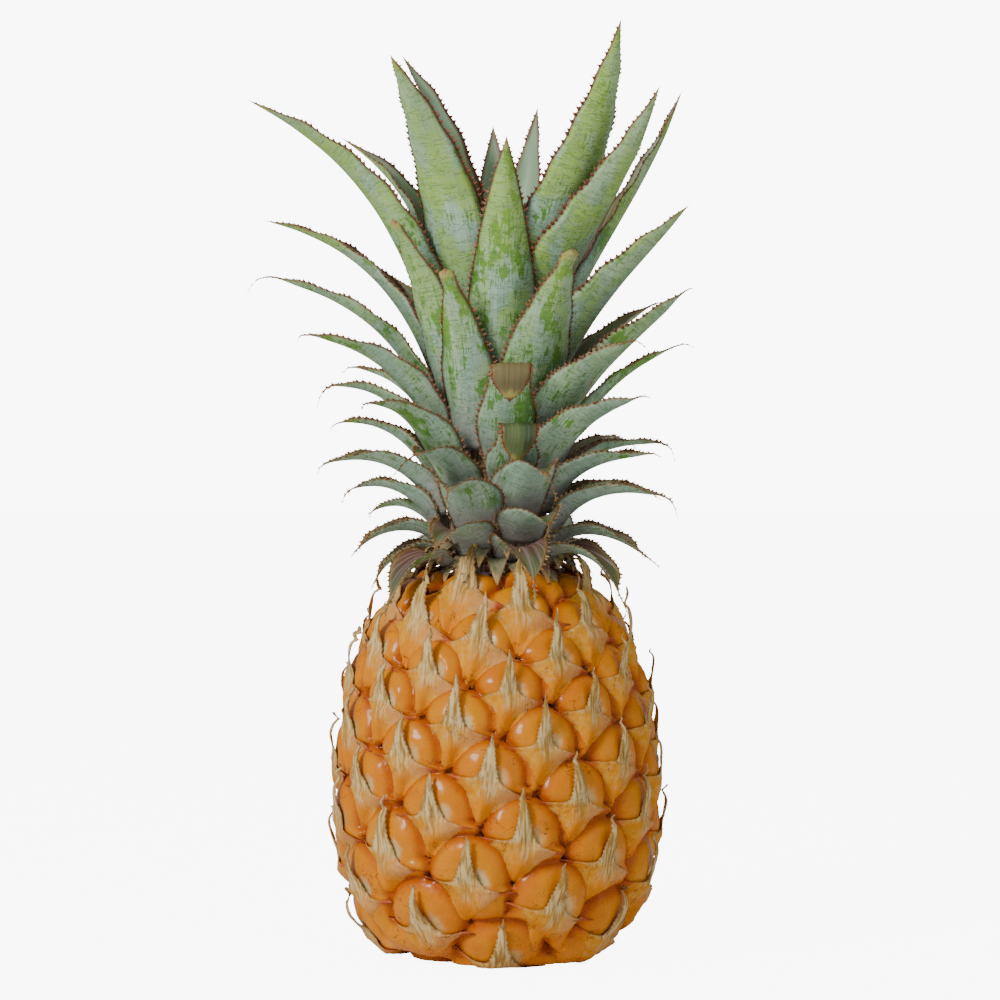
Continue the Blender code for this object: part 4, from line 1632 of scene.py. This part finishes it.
# %% Bract finish
def bract_finish():
    made, tree, shader = new_finish("bract, fleshy to papery")
    place = object_mm(tree)
    flat = uv_of(tree, "bract_mm")
    x, y = split(tree, flat)
    wide = calc(tree, "ABSOLUTE", x)
    edge, tint = stored(tree, "bract_edge"), stored(tree, "tint")
    apart = add_node(tree, "ShaderNodeCombineXYZ", {2: times(tree, tint, 90.0)}).outputs[0]
    own = vector(tree, "ADD", flat, apart)
    soft = use_group(tree, MOTTLE, Coordinates=place, Scale=0.35, Detail=4.0, From=0.35, To=0.65)
    plate = blend(tree, soft["Mask"], "E8A834", "E0900C")
    blotch = use_group(tree, MOTTLE, Coordinates=place, Scale=0.6, Detail=6.0, From=0.54, To=0.68)
    plate = blend(tree, times(tree, blotch["Mask"], 0.55), plate, "DDAA86")
    # painted shade: the right side of the plate, away from the light, is made pinkish tan
    painted_shade_right = times(tree, ramp(tree, x, 1.0, 5.0), ramp(tree, y, -9.0, -4.0))
    plate = blend(tree, times(tree, painted_shade_right, 0.5), plate, "DA9C70")
    streak = streaks(tree, own, 1.1, 0.16, From=0.4, To=0.62)
    wander = times(tree, minus(tree, streak["Noise"], 0.5), 7.0)
    narrow = plus(tree, wide, wander)
    keel = times(tree, ramp(tree, narrow, 1.0, 4.2, 1.0, 0.0), ramp(tree, y, -1.0, -4.5))
    foot = ramp(tree, plus(tree, y, wander), -7.0, -10.5)
    gold = calc(tree, "MAXIMUM", keel, foot)
    colour = blend(tree, times(tree, gold, 0.9), plate, "EA8C00")
    wing = ramp(tree, plus(tree, wide, times(tree, wander, 0.3)), 8.4, 12.0)
    colour = blend(tree, times(tree, wing, 0.8), colour, "D23A1E")
    running = times(tree, ramp(tree, narrow, 3.6, 1.2), ramp(tree, y, -8.5, -3.0))
    free = calc(tree, "MAXIMUM", ramp(tree, y, -2.5, 1.5), times(tree, running, 0.7))
    paper = blend(tree, streak["Mask"], "E8CE92", "A8843E")
    bruise = use_group(
        tree, MOTTLE, Coordinates=stretched(tree, own, 0.9, 0.2), Scale=1.3, From=0.56, To=0.66
    )
    paper = blend(tree, times(tree, bruise["Mask"], 0.6), paper, "8A5C4C")
    colour = blend(tree, times(tree, free, 0.92), colour, paper)
    rim = times(tree, ramp(tree, edge, 0.8, 0.98), ramp(tree, y, -6.0, 4.0, 0.25, 0.55))
    colour = blend(tree, rim, colour, "9A6B45")
    ends = ramp(tree, y, 10.0, 13.4)
    colour = blend(tree, times(tree, ends, 0.35), colour, "A98A5C")
    marks = cracks(tree, own, 0.42, 0.16, Width=0.018, Rarity=0.52)
    colour = blend(tree, times(tree, marks["Mask"], 0.7), colour, "70402A")
    feed(tree, shader["Base Color"], colour)
    feed(tree, shader["Roughness"], ramp(tree, gold, 0.0, 1.0, 0.62, 0.42, smooth=False))
    shader["Specular IOR Level"].default_value = 0.12
    fibres = streaks(tree, own, 1.9, 0.12)
    first = bump(tree, fibres["Noise"], 0.6, 0.45)
    feed(tree, shader["Normal"], bump(tree, soft["Noise"], 0.4, 0.4, first))
    return made


# %% Lay the bracts
shapes = gathered("bract shapes", [bract_shape(number) for number in range(6)])
given_bracts = {"Shapes": shapes, "Skin": skin, "Finish": bract_finish(), "Seed": 3}
bracts = run_nodes(eyes, bract_tree(), given_bracts, "fruit_bracts")
clear_away(shapes)
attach(bracts, "root")
print(f"bracts of {len(bracts.data.polygons)} faces")

# %% [markdown]
# ## Withered scales at the foot of the crown
#
# Between the last eyes and the first real leaves sit small withered leaves. They start
# upward from the stem, arch over and hang on the shoulder of the fruit. Four shapes, lofted
# the same way as the big leaves, are set round the stem by the golden angle.

# %% Scale shapes and their tree
SCALE_COUNT = 46
SCALE_STATIONS = (0.0, 0.12, 0.28, 0.45, 0.62, 0.82)


def scale_shape(number):
    """A small arched leaf: root at the origin, outward along +Y."""
    dice = np.random.default_rng(500 + number)
    length = dice.uniform(15.0, 21.0)
    rise, fall = math.radians(dice.uniform(25, 60)), math.radians(dice.uniform(45, 85))
    outer, inner = [], []
    centre = np.zeros(3)
    before = 0.0
    for share in (*SCALE_STATIONS, 1.0):
        heading = rise + (-fall - rise) * share
        along = np.array([0.0, math.cos(heading), math.sin(heading)])
        upper = np.array([0.0, -math.sin(heading), math.cos(heading)])
        centre = centre + along * (share - before) * length
        before = share
        half = 4.6 * (1.0 - share**1.8)
        thick = 0.7 * (1.0 - 0.6 * share)
        bend = [centre + (half * p, 0.0, 0.0) + upper * 0.35 * half * p * p for p in TRACK_PLACES]
        outer.append(bend)
        inner.append([bend[k] + upper * thick * (0.8, 1.0, 0.8)[k - 1] for k in (1, 2, 3)])
    outer[-1] = [centre] * 5
    inner[-1] = [centre] * 3
    outer, inner, where = fine_rows(np.array(outer), np.array(inner), dice)
    mesh = blade_mesh(f"scale_{number}", outer, inner, where)
    add_edge_lines(mesh, outer, inner, where)
    holder = new_object("scale_holder", mesh)
    inputs = {"Thorn": thorn_shape, "Finish": finish_thorn, "Seed": 90 + number, "Size": 0.8}
    return run_nodes(holder, edge_thorns, inputs, f"scale_shape_{number}")


def scale_points():
    points, outwards, sizes = [], [], []
    dice = np.random.default_rng(11)
    for k in range(SCALE_COUNT):
        turn = math.radians(k * GOLDEN_ANGLE + 40.0)
        out = np.array([math.cos(turn), math.sin(turn), 0.0])
        height = 130.6 + 9.5 * k / SCALE_COUNT
        points.append(out * 16.6 + np.array([0.0, 0.0, height]))
        outwards.append(out)
        sizes.append(dice.uniform(0.75, 1.1) * (1.0 - 0.25 * k / SCALE_COUNT))
    mesh = plain_mesh("scale points", points, [])
    set_values(mesh, "outward", "FLOAT_VECTOR", "POINT", outwards)
    set_values(mesh, "size", "FLOAT", "POINT", sizes)
    set_values(mesh, "tint", "FLOAT", "POINT", dice.uniform(0, 1, len(points)))
    return new_object("scale_points", mesh)


def scale_tree():
    inputs = {
        "Geometry": "Geometry",
        "Shapes": "Collection",
        "Finish": "Material",
        "Tilt": 0.3,
        "Seed": 5,
    }
    tree, given, out = new_tree("withered scales round the stem", inputs)
    shapes, pick = picked(tree, given["Shapes"], 3, given["Seed"])
    outward = named(tree, "outward", "FLOAT_VECTOR")
    down = times(tree, given["Tilt"], -1.0)
    lean = scaled(tree, outward, random_value(tree, down, given["Tilt"], given["Seed"]))
    up = vector(tree, "ADD", lean, (0.0, 0.0, 1.0))
    stood = add_node(
        tree,
        "GeometryNodeInstanceOnPoints",
        {
            "Points": given["Geometry"],
            "Instance": shapes,
            "Pick Instance": True,
            "Instance Index": pick,
            "Rotation": axes(tree, up, outward, "Z", "Y"),
            "Scale": named(tree, "size"),
        },
    )
    real = add_node(tree, "GeometryNodeRealizeInstances", {0: stood.outputs["Instances"]})
    finished = with_finish(tree, real.outputs[0], given["Finish"])
    feed(tree, out["Geometry"], finished)
    return tree


def withered_finish():
    made, tree, shader = new_finish("withered scale")
    flat = uv_of(tree, "blade_mm")
    tint = stored(tree, "tint")
    apart = add_node(tree, "ShaderNodeCombineXYZ", {2: times(tree, tint, 70.0)}).outputs[0]
    own = vector(tree, "ADD", flat, apart)
    across, along = split(tree, uv_of(tree, "blade_share"))
    edge = calc(tree, "ABSOLUTE", across)
    patch = streaks(tree, own, 0.5, 0.2, From=0.35, To=0.65)
    green = blend(tree, patch["Mask"], "5E6B48", "8D9273")
    brown = blend(tree, patch["Mask"], "6B4630", "9A7452")
    colour = blend(tree, ramp(tree, tint, 0.35, 0.6), green, brown)
    colour = blend(tree, ramp(tree, along, 0.4, 0.0), colour, "5C3830")
    streak = streaks(tree, own, 2.4, 0.15)
    colour = blend(tree, times(tree, streak["Mask"], 0.4), colour, "B79B74")
    rim = times(tree, ramp(tree, edge, 0.7, 0.98), 0.7)
    colour = blend(tree, rim, colour, "B98A50")
    tip = ramp(tree, plus(tree, along, times(tree, patch["Noise"], 0.3)), 0.8, 1.05)
    colour = blend(tree, tip, colour, "BE9C66")
    feed(tree, shader["Base Color"], colour)
    feed(tree, shader["Roughness"], ramp(tree, patch["Noise"], 0.3, 0.7, 0.6, 0.8))
    feed(tree, shader["Normal"], bump(tree, streak["Noise"], 0.6, 0.3))
    return made


# %% Set the scales
shapes = gathered("scale shapes", [scale_shape(number) for number in range(4)])
scales = run_nodes(
    scale_points(),
    scale_tree(),
    {"Shapes": shapes, "Finish": withered_finish(), "Tilt": 0.3, "Seed": 5},
    "withered_scales",
)
clear_away(shapes)
bpy.data.objects.remove(thorn_shape)
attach(scales, "root")
print(f"scales of {len(scales.data.polygons)} faces")

# %% [markdown]
# ## Stalk and crown stem
#
# Both stay as packed: a cut stalk under the fruit, dark and fibrous, and the short stem that
# the crown leaves grow from, pale and hidden between them.


# %% Carried-over parts
def fibrous(name, light, dark, along_scale):
    made, tree, shader = new_finish(name)
    place = object_mm(tree)
    along = stretched(tree, place, 0.8, 0.8, along_scale)
    fibres = use_group(tree, MOTTLE, Coordinates=along, Scale=1.0, Detail=5.0)
    colour = blend(tree, fibres["Mask"], dark, light)
    feed(tree, shader["Base Color"], colour)
    feed(tree, shader["Roughness"], ramp(tree, fibres["Noise"], 0.3, 0.7, 0.6, 0.85))
    feed(tree, shader["Normal"], bump(tree, fibres["Noise"], 0.7, 0.5))
    return made


for node, finish in (
    ("cut_stalk", fibrous("cut stalk, dry fibre", "8A6A45", "3A2617", 0.9)),
    ("crown_stem", fibrous("crown stem, pale", "C3B48E", "8B6D62", 0.1)),
):
    mesh = frame["nodes"][node].data
    mesh.materials.clear()
    mesh.materials.append(finish)
print("stalk and stem keep their packed shape")

# %% [markdown]
# ## Stage, light and camera

# %% Stage
FLOOR_GLOW = 8.1
ROOM_LIGHT, ROOM_SEEN = 0.4, 9.0
scene = bpy.context.scene
FLOOR_REACH = 4000.0
corners = [(x * FLOOR_REACH, y * FLOOR_REACH, 0.0) for x, y in ((-1, -1), (1, -1), (1, 1), (-1, 1))]
floor_mesh = plain_mesh("floor", corners, [(0, 1, 2, 3)])
floor = new_object("stage_floor", floor_mesh)
floor_mat, floor_tree, floor_shader = new_finish("pale floor")
floor_shader["Base Color"].default_value = (0.86, 0.86, 0.86, 1.0)
floor_shader["Roughness"].default_value = 0.7
floor_shader["Emission Strength"].default_value = FLOOR_GLOW
floor_seen = add_node(floor_tree, "ShaderNodeLightPath").outputs["Is Camera Ray"]
feed(floor_tree, floor_shader["Emission Color"], floor_seen)
floor.data.materials.append(floor_mat)

world = bpy.data.worlds.new("soft room")
world.use_nodes = True
world.node_tree.nodes["Background"].inputs["Color"].default_value = (1.0, 1.0, 1.0, 1.0)
room = world.node_tree
seen = add_node(room, "ShaderNodeLightPath").outputs["Is Camera Ray"]
strength = ramp(room, seen, 0.0, 1.0, ROOM_LIGHT, ROOM_SEEN, smooth=False)
feed(room, room.nodes["Background"].inputs["Strength"], strength)
scene.world = world


def soft_light(name, place, target, size, power, tone=(1.0, 1.0, 1.0)):
    data = bpy.data.lights.new(name, "AREA")
    data.shape = "DISK"
    data.size = size
    data.energy = power
    data.color = tone
    made = bpy.data.objects.new(name, data)
    scene.collection.objects.link(made)
    made.location = place
    made.rotation_euler = (Vector(target) - Vector(place)).to_track_quat("-Z", "Y").to_euler()
    return made


MIDDLE_POINT = (0.001, 0.0, 0.155)
soft_light("key", (-1.1, -1.2, 1.1), MIDDLE_POINT, 0.55, 27.0, (1.0, 0.98, 0.94))
soft_light("fill", (1.3, -0.9, 0.6), MIDDLE_POINT, 1.2, 2.2, (0.95, 0.98, 1.0))

CAMERA_DISTANCE = 1.5
CAMERA_RISE = math.radians(2.0)
VIEW_HEIGHT = 0.34
camera_data = bpy.data.cameras.new("camera")
camera_data.sensor_width = 36.0
camera_data.lens = camera_data.sensor_width * CAMERA_DISTANCE / VIEW_HEIGHT
camera = bpy.data.objects.new("camera", camera_data)
scene.collection.objects.link(camera)
offset = Vector((0.0, -math.cos(CAMERA_RISE), math.sin(CAMERA_RISE))) * CAMERA_DISTANCE
camera.location = Vector(MIDDLE_POINT) + offset
camera.rotation_euler = (-offset).to_track_quat("-Z", "Y").to_euler()
scene.camera = camera

# %% Sizes
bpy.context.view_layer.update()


def plain(box):
    return [[float(c) for c in corner] for corner in box]
